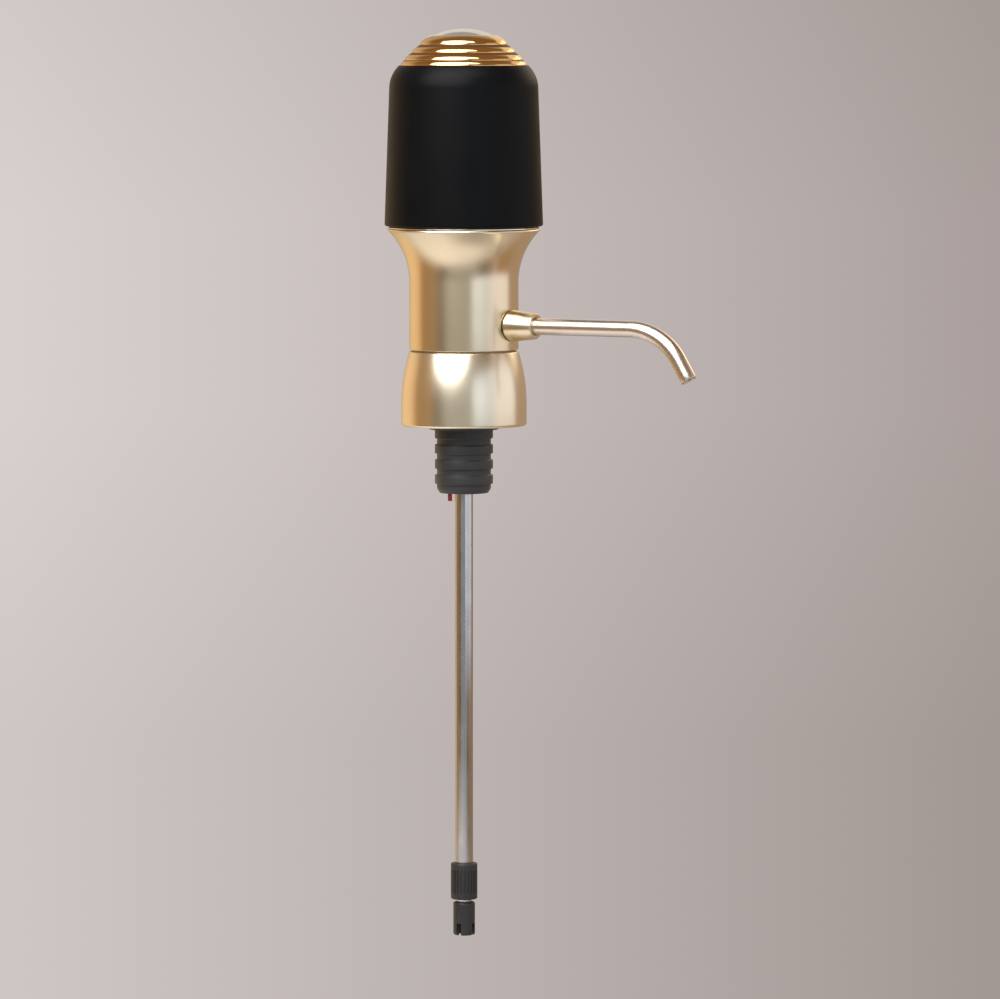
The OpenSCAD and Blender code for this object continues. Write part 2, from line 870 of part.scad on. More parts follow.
module motor_magnets() {
    magnet_r = motor_r - can_wall - fit;
    low = z_motor + armature_start;
    color([0.3, 0.3, 0.32]) for (a = [0, 180])
        sector(magnet_r - magnet_t, magnet_r, low, low + armature_l, a - magnet_angle / 2, magnet_angle);
}

module motor_armature() {
    armature_r = motor_r - can_wall - magnet_t - armature_gap;
    commutator_r = 2.6;
    commutator_l = 2.5;
    low = z_motor + armature_start;
    color("peru") difference() {
        union() {
            bar(armature_r, low, low + armature_l);
            bar(commutator_r, low, low + armature_l + commutator_l);
        }
        hole(shaft_d / 2 + fit, low, low + armature_l + commutator_l);
    }
}

module motor_shaft() {
    color("lightgray") bar(shaft_d / 2, z_shaft, z_end_cap_top);
}

module motor_end_cap() {
    terminal = [0.5, 2];
    color("whitesmoke") difference() {
        union() {
            bar(motor_r - fit, z_end_cap, z_end_cap_top);
            for (s = [-1, 1])
                translate([s * terminal_x - terminal[0] / 2, -terminal[1] / 2, z_end_cap_top])
                    cube([terminal[0], terminal[1], terminal_h]);
        }
        hole(shaft_d / 2 + fit, z_end_cap, z_end_cap_top);
    }
}

module motor_leads() {
    low = z_end_cap_top + terminal_h;
    for (s = [-1, 1]) color(s > 0 ? "red" : "black") skin([for (i = [0 : lead_rings]) let (
        t = i / lead_rings,
        x = s * (terminal_x + lead_sway * pow(sin(180 * t), 2))
    ) [for (k = [0 : lead_sides - 1]) let (b = 360 * k / lead_sides)
        [x + lead_r * cos(b), lead_r * sin(b), low + (z_board - low) * t]]]);
}

module motor_screws() {
    color("darkgray") at_motor_screws() translate([0, 0, z_frame_in])
        screw_up(frame_top_t + can_front_t, small_screw_d, small_head_d);
}

// Pump

// Frame of the wobble plate: tilted about the point where its axis crosses the main axis
module tilted() {
    translate([0, 0, z_wobble]) rotate([0, wobble_tilt, 0]) children();
}

module drive_wheel() {
    color("ivory") difference() {
        bar(wheel_r, z_wheel, z_wheel + wheel_h);
        bar(shaft_d / 2 + fit, z_shaft - fit, z_wheel + wheel_h + overshoot);
        tilted() bar(wobble_pin_r + fit, wobble_hub_h, wobble_pin_l + slip);
    }
}

module wobble_pin() {
    color("lightgray") tilted() bar(wobble_pin_r, 0, wobble_pin_l);
}

module wobble_plate() {
    color("ivory") tilted() difference() {
        union() {
            bar(wobble_hub_r, 0, wobble_hub_h);
            around(cup_count, 0) translate([0, -arm_w / 2, 0]) cube([cup_circle_r, arm_w, pad_t]);
            around(cup_count, cup_circle_r) bar(pad_r, 0, pad_t);
        }
        bar(wobble_pin_r + fit, -overshoot, wobble_hub_h + overshoot);
        around(cup_count, cup_circle_r) bar(pad_hole_r, -overshoot, pad_t + overshoot);
    }
}

module pump_cushion() {
    color([0.25, 0.25, 0.26]) difference() {
        bar(pump_flange_r, z_pump_flange_top, z_ledge);
        hole(deck_hole_r, z_pump_flange_top, z_ledge);
        at_mounts()
            hole(small_screw_d / 2 + slip, z_pump_flange_top, z_ledge);
    }
}

module pump_frame() {
    color([0.85, 0.85, 0.82]) difference() {
        lathe([[pump_in_r, z_diaphragm_top], [pump_r, z_diaphragm_top], [pump_r, z_pump_flange],
               [pump_flange_r, z_pump_flange], [pump_flange_r, z_pump_flange_top],
               [barrel_r, z_pump_flange_top], [barrel_r, z_motor], [motor_boss_r + slip, z_motor],
               [motor_boss_r + slip, z_frame_in], [pump_in_r, z_frame_in]]);
        at_mounts()
            hole(small_screw_d / 2 + slip, z_pump_flange, z_pump_flange_top);
        at_pump_screws()
            bar(small_screw_d / 2 + fit, z_diaphragm_top - overshoot,
                z_diaphragm_top + short_bite + tip_room);
        at_motor_screws()
            hole(small_screw_d / 2 + slip, z_frame_in, z_motor);
    }
}

module mount_screws() {
    color("darkgray") at_mounts() translate([0, 0, z_pump_flange])
        screw_up(pump_flange_t + cushion_t + deck_t - mount_skin - tip_room, small_screw_d, small_head_d);
}

// Each rubber cup ends just under its pad, which is lower on the side that the plate leans to
module diaphragm() {
    color([0.22, 0.22, 0.23]) difference() {
        union() {
            bar(pump_r, z_diaphragm, z_diaphragm_top);
            for (i = [0 : cup_count - 1]) let (
                a = 360 * i / cup_count,
                x = cup_circle_r * cos(wobble_tilt) * cos(a),
                pad = z_wobble - x * tan(wobble_tilt)
            ) translate([x, cup_circle_r * sin(a), 0]) {
                bar(cup_r, z_diaphragm, pad - free_gap - cup_r * sin(wobble_tilt));
                bar(cup_stem_r, z_diaphragm, pad + pad_t + free_gap + bulb_h);
                bar(bulb_r, pad + pad_t + free_gap, pad + pad_t + free_gap + bulb_h);
            }
        }
        for (i = [0 : cup_count - 1]) let (a = 360 * i / cup_count)
            translate([cup_circle_r * cos(wobble_tilt) * cos(a), cup_circle_r * sin(a), 0])
                bar(cup_r - cup_wall, z_diaphragm - overshoot, z_diaphragm_top + cup_room);
        at_pump_screws()
            hole(small_screw_d / 2 + slip, z_diaphragm, z_diaphragm_top);
    }
}

module valve_plate() {
    port_offset = 1;
    port_d = 0.8;
    color([0.85, 0.85, 0.82]) difference() {
        bar(pump_r, z_valve_plate, z_diaphragm);
        around(cup_count, cup_circle_r) {
            hole(valve_stem_r + fit, z_valve_plate, z_diaphragm);
            for (s = [-1, 1]) translate([0, s * port_offset, 0])
                hole(port_d / 2, z_valve_plate, z_diaphragm);
        }
        at_pump_screws()
            hole(small_screw_d / 2 + slip, z_valve_plate, z_diaphragm);
    }
}

module check_valves() {
    disc_r = 1.9;
    disc_t = 0.5;
    color("firebrick") around(cup_count, cup_circle_r) {
        bar(disc_r, z_valve_plate - disc_t, z_valve_plate);
        bar(valve_stem_r, z_valve_plate - disc_t, z_diaphragm - slip);
    }
}

module pump_head() {
    color([0.85, 0.85, 0.82]) difference() {
        union() {
            bar(pump_r, z_head, z_valve_plate);
            translate([-air_x, 0, 0]) bar(nipple_r, z_head - nipple_h, z_head + overshoot);
        }
        bar(pump_in_r, z_valve_plate - head_chamber_h, z_valve_plate + overshoot);
        translate([-air_x, 0, 0]) bar(air_r, z_head - nipple_h - overshoot, z_valve_plate);
        at_pump_screws()
            hole(small_screw_d / 2 + slip, z_head, z_valve_plate);
    }
}

module pump_screws() {
    clamped = pump_head_t + valve_plate_t + diaphragm_t;
    color("darkgray") at_pump_screws() translate([0, 0, z_head])
        screw_up(clamped + short_bite, small_screw_d, small_head_d);
}

module air_hose() {
    color([0.8, 0.82, 0.84]) translate([-air_x, 0, 0]) difference() {
        bar(nipple_r + fit + hose_wall, z_column + hose_gap, z_head - hose_gap);
        bar(nipple_r + fit, z_column, z_head);
    }
}

// Waist, manifold and spout

module waist_shell() {
    center = waist_r + flare_r;
    outer_end = 180 - asin(flare_h / flare_r);
    inner_r = flare_r + waist_wall;
    inner_end = 180 - asin((z_ledge - z_flare) / inner_r);
    mid_r = flare_r + waist_wall / 2;
    mid_end = 180 - asin((z_ledge - z_flare) / mid_r);
    z_floor = z_waist + collar_floor_t;
    color([0.78, 0.64, 0.43]) difference() {
        union() {
            lathe(concat(
                [[collar_r, z_collar], [collar_r, z_seam], [waist_r - groove_depth, z_seam],
                 [waist_r - groove_depth, z_waist], [waist_r, z_waist]],
                arc_points(center, z_flare, flare_r, 180, outer_end),
                [[rim_r, z_rim], [rim_r, z_rim_top - edge], [rim_r - edge, z_rim_top],
                 [deck_bore_r, z_rim_top], [deck_bore_r, z_ledge]],
                arc_points(center, z_flare, inner_r, inner_end, 180),
                [[waist_in_r, z_floor], [collar_in_r, z_floor], [collar_in_r, z_collar]]
            ));
            at_pillars() bar(pillar_r, z_pillar, z_floor);
            intersection() {
                at_clamps() bar(clamp_post_r, z_ledge - clamp_post_h, z_ledge);
                lathe(concat([[0, z_flare]], arc_points(center, z_flare, mid_r, 180, mid_end),
                             [[0, z_ledge]]));
            }
        }
        at_pillars()
            bar(screw_d / 2 + fit, z_pillar - overshoot, z_pillar + screw_bite + tip_room);
        at_clamps() bar(screw_d / 2 + fit, z_ledge - screw_bite - tip_room, z_ledge + overshoot);
        along_spout() hole(shank_r + free_gap, waist_in_r, waist_r);
    }
}

// Spigot for stopper and dip tube, column with the wine and air channels, and the spout's port
module manifold() {
    groove_low = z_dip_groove - seal_r - groove_slack / 2;
    groove_high = z_dip_groove + seal_r + groove_slack / 2;
    color([0.8, 0.8, 0.78]) difference() {
        union() {
            lathe([[0, -stopper_l], [spigot_r, -stopper_l], [spigot_r, z_bead - bead_l / 2],
                   [spigot_r + bead_h, z_bead], [spigot_r, z_bead + bead_l / 2], [spigot_r, z_plate_top],
                   [manifold_flange_r, z_plate_top], [manifold_flange_r, z_pillar], [spigot_r, z_pillar],
                   [spigot_r, z_column], [0, z_column]]);
            along_spout() bar(port_r, 0, port_end);
            translate([-air_x, 0, 0]) bar(nipple_r, z_column - overshoot, z_column + nipple_h);
        }
        bar(dip_r + fit, -stopper_l - overshoot, dip_socket + socket_end_gap);
        bar(wine_r, 0, z_spout);
        bar(dip_groove_r, groove_low, groove_high);
        along_spout() {
            bar(spout_in_r, 0, port_end);
            bar(spout_r + slip, spout_start - socket_end_gap, port_end);
            bar(shank_r + fit, shank_start, port_end + overshoot);
        }
        translate([-air_x, 0, 0]) {
            hole(air_r, -stopper_l, z_column + nipple_h);
            bar(valve_r + fit, -stopper_l - overshoot, -stopper_l + valve_l);
        }
        at_pillars()
            hole(screw_d / 2 + slip, z_plate_top, z_pillar);
    }
}

module spout_sleeve() {
    root_depth = 2;
    cone_start = waist_r - root_depth;
    cone_l = sleeve_end - cone_start;
    slope = (sleeve_root_d - sleeve_end_d) / 2 / cone_l;
    color([0.8, 0.68, 0.5]) difference() {
        union() {
            difference() {
                along_spout() lathe([[0, cone_start], [sleeve_root_d / 2, cone_start],
                    [sleeve_end_d / 2 + slope * edge, sleeve_end - edge],
                    [sleeve_end_d / 2 - edge, sleeve_end], [0, sleeve_end]]);
                bar(waist_r + fit, z_spout - sleeve_root_d, z_spout + sleeve_root_d);
            }
            along_spout() bar(shank_r, shank_start + socket_end_gap, waist_r + sleeve_l / 2);
        }
        along_spout() {
            hole(spout_r + slip, shank_start, sleeve_end);
            bar(spout_groove_r, spout_groove_x, spout_groove_x + spout_groove_w);
            bar(mouth_r, sleeve_end - mouth_l, sleeve_end + overshoot);
        }
    }
}

module spout_seal() {
    color([0.1, 0.1, 0.1]) along_spout() translate([0, 0, spout_groove_x + spout_groove_w / 2])
        seal(spout_r + seal_gap + spout_seal_r, spout_seal_r);
}

// Round bar along the spout's path in the plane of its bend, longer by extra at both ends
module spout_path(r, extra) {
    rotate_extrude(angle = spout_bend) translate([spout_bend_r, 0]) circle(r = r);
    translate([spout_bend_r, 0, 0]) rotate([90, 0, 0])
        cylinder(r = r, h = spout_straight - spout_start + extra);
    rotate([0, 0, spout_bend]) translate([spout_bend_r, 0, 0]) rotate([-90, 0, 0])
        cylinder(r = r, h = spout_tail + extra);
}

module spout_tube() {
    color([0.8, 0.68, 0.5]) translate([spout_straight, 0, z_spout - spout_bend_r])
        rotate([0, 0, -90]) rotate([0, -90, 0]) difference() {
            spout_path(spout_r, 0);
            spout_path(spout_in_r, overshoot);
        }
}

// Base

module base_ring() {
    color([0.78, 0.64, 0.43]) lathe(concat(
        [[base_recess_r, z_base], [base_r - edge, z_base], [base_r, z_base + edge]],
        arc_points(base_r - bell_r, z_base + base_straight_h, bell_r, 0, asin(bell_h / bell_r)),
        [[collar_r + slip, z_seam], [collar_r + slip, z_collar - slip], [base_in_r, z_collar - slip],
         [base_in_r, z_plate_top], [base_recess_r, z_plate_top]]
    ));
}

module base_plate() {
    color([0.1, 0.1, 0.11]) difference() {
        bar(base_recess_r - slip, z_plate, z_plate_top);
        hole(spigot_r + slip, z_plate, z_plate_top);
        at_pillars() {
            hole(screw_d / 2 + slip, z_plate, z_plate_top);
            bar(screw_head_d / 2 + slip, z_plate - overshoot, z_plate + screw_head_h);
        }
        around(vent_count, vent_ring_r, pillar_start + 180 / vent_count)
            hole(vent_d / 2, z_plate, z_plate_top);
    }
}

module base_screws() {
    color("darkgray") at_pillars()
        translate([0, 0, z_plate + screw_head_h])
            screw_up(base_plate_t - screw_head_h + manifold_flange_t + screw_bite, screw_d, screw_head_d);
}

// Stopper and dip tube

module stopper() {
    rib_r = rib_d / 2;
    core_r = rib_r - rib_depth;
    bore_r = spigot_r + fit;
    nose = 1.5;
    color([0.13, 0.13, 0.14]) lathe(concat(
        [[bore_r, stopper_flange_t], [stopper_flange_d / 2, stopper_flange_t], [stopper_flange_d / 2, 0]],
        [for (i = [0 : rib_count - 1]) let (top = -i * rib_pitch) each [
            if (i > 0) [core_r, top], [rib_r, top], [rib_r, top - rib_w], [core_r, top - rib_w]]],
        [[core_r, -stopper_l + nose], [(core_r + bore_r) / 2, -stopper_l], [bore_r, -stopper_l],
         [bore_r, z_bead - bead_l / 2], [bore_r + bead_h, z_bead], [bore_r, z_bead + bead_l / 2]]
    ));
}

module air_valve() {
    color([0.75, 0.2, 0.18]) translate([-air_x, 0, 0]) {
        bar(valve_r, -stopper_l, -stopper_l + valve_l - slip);
        translate([-valve_r / 2, -valve_bill_w / 2, -stopper_l - valve_bill_l])
            cube([valve_r, valve_bill_w, valve_bill_l]);
    }
}

module dip_tube_upper() {
    color("silver") difference() {
        bar(dip_r, z_dip_end, dip_socket);
        hole(dip_in_r, z_dip_end, dip_socket);
    }
}

module dip_tube_seal() {
    color([0.1, 0.1, 0.1]) translate([0, 0, z_dip_groove]) seal(dip_r + seal_gap + seal_r, seal_r);
}

module tube_collar() {
    groove_low = z_collar_groove - seal_r - groove_slack / 2;
    groove_high = z_collar_groove + seal_r + groove_slack / 2;
    color([0.16, 0.16, 0.17]) lathe([
        [tube_collar_r - edge, z_collar_end], [tube_collar_r, z_collar_end + edge],
        [tube_collar_r, z_dip_end + tube_collar_up - edge],
        [tube_collar_r - edge, z_dip_end + tube_collar_up],
        [dip_r + fit, z_dip_end + tube_collar_up], [dip_r + fit, z_dip_end], [lower_r + slip, z_dip_end],
        [lower_r + slip, groove_high], [collar_groove_r, groove_high], [collar_groove_r, groove_low],
        [lower_r + slip, groove_low], [lower_r + slip, z_collar_end]
    ]);
}

module collar_seal() {
    color([0.1, 0.1, 0.1]) translate([0, 0, z_collar_groove]) seal(lower_r + seal_gap + seal_r, seal_r);
}

module dip_tube_lower() {
    color("silver") difference() {
        bar(lower_r, z_lower_end, z_lower_top);
        hole(lower_in_r, z_lower_end, z_lower_top);
    }
}

module tube_foot() {
    color([0.16, 0.16, 0.17]) difference() {
        lathe([[lower_in_r, z_foot], [foot_d / 2 - edge, z_foot], [foot_d / 2, z_foot + edge],
               [foot_d / 2, z_foot_top - edge], [foot_d / 2 - edge, z_foot_top],
               [lower_r + fit, z_foot_top],
               [lower_r + fit, z_lower_end - fit], [lower_in_r, z_lower_end - fit]]);
        for (a = [0, 90]) rotate([0, 0, a])
            translate([-foot_d, -foot_slot_w / 2, z_foot - overshoot])
                cube([2 * foot_d, foot_slot_w, foot_slot_h + overshoot]);
    }
}

push_button();
crown();
button_guide();
button_spring();
crown_screws();
housing();
chassis();
clamp_screws();
battery_carrier();
battery_cell_1();
battery_cell_2();
battery_cell_3();
battery_cell_4();
lower_contacts();
upper_contacts();
control_board();
board_parts();
board_screws();
tact_switch();
switch_plunger();
motor_can();
motor_magnets();
motor_armature();
motor_shaft();
motor_end_cap();
motor_leads();
motor_screws();
drive_wheel();
wobble_pin();
wobble_plate();
pump_cushion();
pump_frame();
mount_screws();
diaphragm();
valve_plate();
check_valves();
pump_head();
pump_screws();
air_hose();
waist_shell();
manifold();
spout_sleeve();
spout_seal();
spout_tube();
base_ring();
base_plate();
base_screws();
stopper();
air_valve();
dip_tube_upper();
dip_tube_seal();
tube_collar();
collar_seal();
dip_tube_lower();
tube_foot();
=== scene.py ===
"""Looks of an electric wine aerator dispenser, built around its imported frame.

Sizes are in millimetres in the drawing of each piece, and in metres in Blender.
The origin is the middle of the seat under the base, +Z is up and the spout points along +X.
"""

import json
import logging
import math
from collections import Counter
from collections.abc import Callable, Sequence
from dataclasses import dataclass
from enum import Enum

import bpy
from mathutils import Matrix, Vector


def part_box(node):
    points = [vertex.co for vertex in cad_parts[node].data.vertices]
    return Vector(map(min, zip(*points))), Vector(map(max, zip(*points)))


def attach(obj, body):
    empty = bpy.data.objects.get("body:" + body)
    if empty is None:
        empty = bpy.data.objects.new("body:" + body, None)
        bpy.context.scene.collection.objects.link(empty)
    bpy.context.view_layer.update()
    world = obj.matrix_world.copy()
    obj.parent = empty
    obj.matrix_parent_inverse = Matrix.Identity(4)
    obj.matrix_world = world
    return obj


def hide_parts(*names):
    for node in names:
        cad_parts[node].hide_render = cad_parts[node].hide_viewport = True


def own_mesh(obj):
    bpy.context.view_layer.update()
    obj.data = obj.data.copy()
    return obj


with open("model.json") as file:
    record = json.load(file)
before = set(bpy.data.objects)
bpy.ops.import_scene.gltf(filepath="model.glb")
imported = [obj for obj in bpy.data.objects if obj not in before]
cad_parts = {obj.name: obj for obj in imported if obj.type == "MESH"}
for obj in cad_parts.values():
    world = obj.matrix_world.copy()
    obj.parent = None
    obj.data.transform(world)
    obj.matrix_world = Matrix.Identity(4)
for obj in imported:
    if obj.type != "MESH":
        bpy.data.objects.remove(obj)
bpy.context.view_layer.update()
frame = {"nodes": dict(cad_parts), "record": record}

MM = 0.001
WELD = 0.001 * MM
SLIVER = 0.004 * MM
LOG = logging.getLogger("dispenser")

Point = tuple[float, float]
Corner = tuple[float, float, float]
Colour = tuple[float, float, float, float]
Piece = bpy.types.Object
Face = bpy.types.MeshPolygon
Tree = bpy.types.NodeTree
Socket = bpy.types.NodeSocket

# Places of the share and of both colours among the inputs of a Mix node, and of its mixed colour
MIX_SHARE, MIX_FIRST, MIX_SECOND, MIXED = 0, 6, 7, 2


class Lay(Enum):
    """Which way the grain of a surface runs."""

    EVEN = "even"
    AROUND = "around"
    UPRIGHT = "upright"
    CONCENTRIC = "concentric"


class Panel(Enum):
    """The shapes of a softbox, by Blender's names."""

    SQUARE = "RECTANGLE"
    ROUND = "ELLIPSE"


class Pick(Enum):
    """What is picked in edit mode, by Blender's names."""

    CORNERS = "VERT"
    EDGES = "EDGE"
    FACES = "FACE"


class Join(Enum):
    """What a second solid does to a piece, by Blender's names."""

    CUT = "DIFFERENCE"
    ADD = "UNION"


class Spindle(Enum):
    """The lines that round pieces are turned about."""

    MAIN = "main"
    SPOUT = "spout"


class Way(Enum):
    """The level directions that backdrop and floor change along, as the camera sees them."""

    ACROSS = "across"
    TOWARD = "toward"


SPOUT_Z = 34.5
SPINDLE_PLACE = {Spindle.MAIN: Vector((0, 0, 0)), Spindle.SPOUT: Vector((0, 0, SPOUT_Z * MM))}
SPINDLE_AXIS = {Spindle.MAIN: (0, 0, 1), Spindle.SPOUT: (1, 0, 0)}

# Noise in patches and grain, and how far the marks of turning and drawing are drawn out
PATCH_DETAIL = 4.0
PATCH_RANGE = (0.3, 0.7)
GRAIN_DETAIL = 2.0
STRETCH = {Lay.AROUND: (0.02, 0.02, 1.0), Lay.UPRIGHT: (1.0, 1.0, 0.02)}


def linear(code: str) -> Colour:
    """Turns an sRGB hex colour into linear light.

    Args:
        code: Six hex digits, red first.

    Returns:
        Red, green, blue and an alpha of 1.
    """
    shares = [int(code[i : i + 2], 16) / 255 for i in (0, 2, 4)]
    light = [s / 12.92 if s <= 0.04045 else ((s + 0.055) / 1.055) ** 2.4 for s in shares]
    return (light[0], light[1], light[2], 1.0)


def per_mm(size: float) -> float:
    """Gives the texture scale, per metre, at which one feature is this many millimetres wide."""
    return 1 / (size * MM)


def add_node(
    tree: Tree, kind: str, inputs: dict[int | str, object] | None = None, **settings: object
) -> bpy.types.Node:
    """Adds a node with its settings and links.

    Args:
        tree: The tree that gets the node.
        kind: The node's Blender type, without its ShaderNode.
        inputs: Values or sockets for its inputs, by name or number.
        **settings: Its own properties.

    Returns:
        The node.
    """
    node = tree.nodes.new(f"ShaderNode{kind}")
    for key, value in settings.items():
        setattr(node, key, value)
    for key, value in (inputs or {}).items():
        if isinstance(value, Socket):
            tree.links.new(value, node.inputs[key])
        else:
            node.inputs[key].default_value = value
    return node


def fade(
    tree: Tree, value: Socket, low: float, high: float, first: Socket | Colour, second: Socket | Colour
) -> Socket:
    """Changes from one colour to another as a value rises.

    Args:
        tree: The tree that gets the nodes.
        value: The value.
        low: Where the first colour ends.
        high: Where the second colour is reached.
        first: A colour or its socket.
        second: A colour or its socket.

    Returns:
        The mixed colour.
    """
    share = add_node(tree, "MapRange", {"Value": value, "From Min": low, "From Max": high})
    mix = {MIX_SHARE: share.outputs["Result"], MIX_FIRST: first, MIX_SECOND: second}
    return add_node(tree, "Mix", mix, data_type="RGBA").outputs[MIXED]


@dataclass(frozen=True)
class Band:
    """A change to a new colour between two places along a way."""

    way: Way
    low: float
    high: float
    colour: str


@dataclass(frozen=True)
class Banding:
    """Bands of colour that are laid over a first one."""

    start: str
    bands: tuple[Band, ...]

    def lay(self, tree: Tree, places: dict[Way, Socket]) -> Socket:
        """Lays the bands over each other.

        Args:
            tree: The tree that gets the nodes.
            places: The place along each way.

        Returns:
            The colour on top.
        """
        colour = linear(self.start)
        for band in self.bands:
            colour = fade(tree, places[band.way], band.low, band.high, colour, linear(band.colour))
        return colour


@dataclass(frozen=True)
class Finish:
    """A material: its colour and gloss, and the grain that its making leaves on it.

    The grain is a bump of grain_depth millimetres, and faint patches of the second colour,
    patch_mm wide, vary the colour and the gloss. Real marks of blasting, drawing and turning
    are finer than a pixel, so they are drawn 0.1 to 0.5 mm wide to show.
    """

    name: str
    colour: str
    patch_colour: str
    roughness: float
    roughness_spread: float
    patch_mm: float
    grain_mm: float
    grain_depth: float
    lay: Lay = Lay.EVEN
    metallic: float = 0.0
    specular: float = 0.5
    sheen: float = 0.0
    coat: float = 0.0
    transmission: float = 0.0

    def material(self) -> bpy.types.Material:
        """Makes the material, once.

        Returns:
            The material.
        """
        found = bpy.data.materials.get(self.name)
        if found is not None:
            return found
        made = bpy.data.materials.new(self.name)
        made.use_nodes = True
        tree = made.node_tree
        shader = tree.nodes["Principled BSDF"]
        shader.inputs["Metallic"].default_value = self.metallic
        shader.inputs["Specular IOR Level"].default_value = self.specular
        shader.inputs["Sheen Weight"].default_value = self.sheen
        shader.inputs["Coat Weight"].default_value = self.coat
        shader.inputs["Transmission Weight"].default_value = self.transmission
        place = add_node(tree, "TexCoord").outputs["Object"]
        self.colour_and_gloss(tree, shader, place)
        height = self.grain(tree, place)
        bump = add_node(tree, "Bump", {"Height": height, "Distance": self.grain_depth * MM})
        tree.links.new(bump.outputs["Normal"], shader.inputs["Normal"])
        return made

    def colour_and_gloss(self, tree: Tree, shader: bpy.types.Node, place: Socket) -> None:
        """Lets faint patches vary the colour and the roughness.

        Args:
            tree: The material's nodes.
            shader: Its Principled shader.
            place: Object coordinates.
        """
        noise = {"Vector": place, "Scale": per_mm(self.patch_mm), "Detail": PATCH_DETAIL}
        patches = add_node(tree, "TexNoise", noise).outputs["Fac"]
        mix = {MIX_SHARE: patches, MIX_FIRST: linear(self.colour), MIX_SECOND: linear(self.patch_colour)}
        tint = add_node(tree, "Mix", mix, data_type="RGBA").outputs[MIXED]
        tree.links.new(tint, shader.inputs["Base Color"])
        spread = {
            "Value": patches,
            "From Min": PATCH_RANGE[0],
            "From Max": PATCH_RANGE[1],
            "To Min": self.roughness - self.roughness_spread,
            "To Max": self.roughness + self.roughness_spread,
        }
        gloss = add_node(tree, "MapRange", spread).outputs["Result"]
        tree.links.new(gloss, shader.inputs["Roughness"])

    def grain(self, tree: Tree, place: Socket) -> Socket:
        """Makes the height of the grain.

        Args:
            tree: The material's nodes.
            place: Object coordinates.

        Returns:
            A height from 0 to 1.
        """
        run = place
        if self.lay is Lay.CONCENTRIC:
            flat = add_node(tree, "Mapping", {"Vector": place, "Scale": (1.0, 1.0, 0.0)})
            radius = add_node(tree, "VectorMath", {0: flat.outputs["Vector"]}, operation="LENGTH")
            run = add_node(tree, "CombineXYZ", {"X": radius.outputs["Value"]}).outputs["Vector"]
        elif self.lay is not Lay.EVEN:
            drawn = add_node(tree, "Mapping", {"Vector": place, "Scale": STRETCH[self.lay]})
            run = drawn.outputs["Vector"]
        noise = {"Vector": run, "Scale": per_mm(self.grain_mm), "Detail": GRAIN_DETAIL}
        return add_node(tree, "TexNoise", noise).outputs["Fac"]


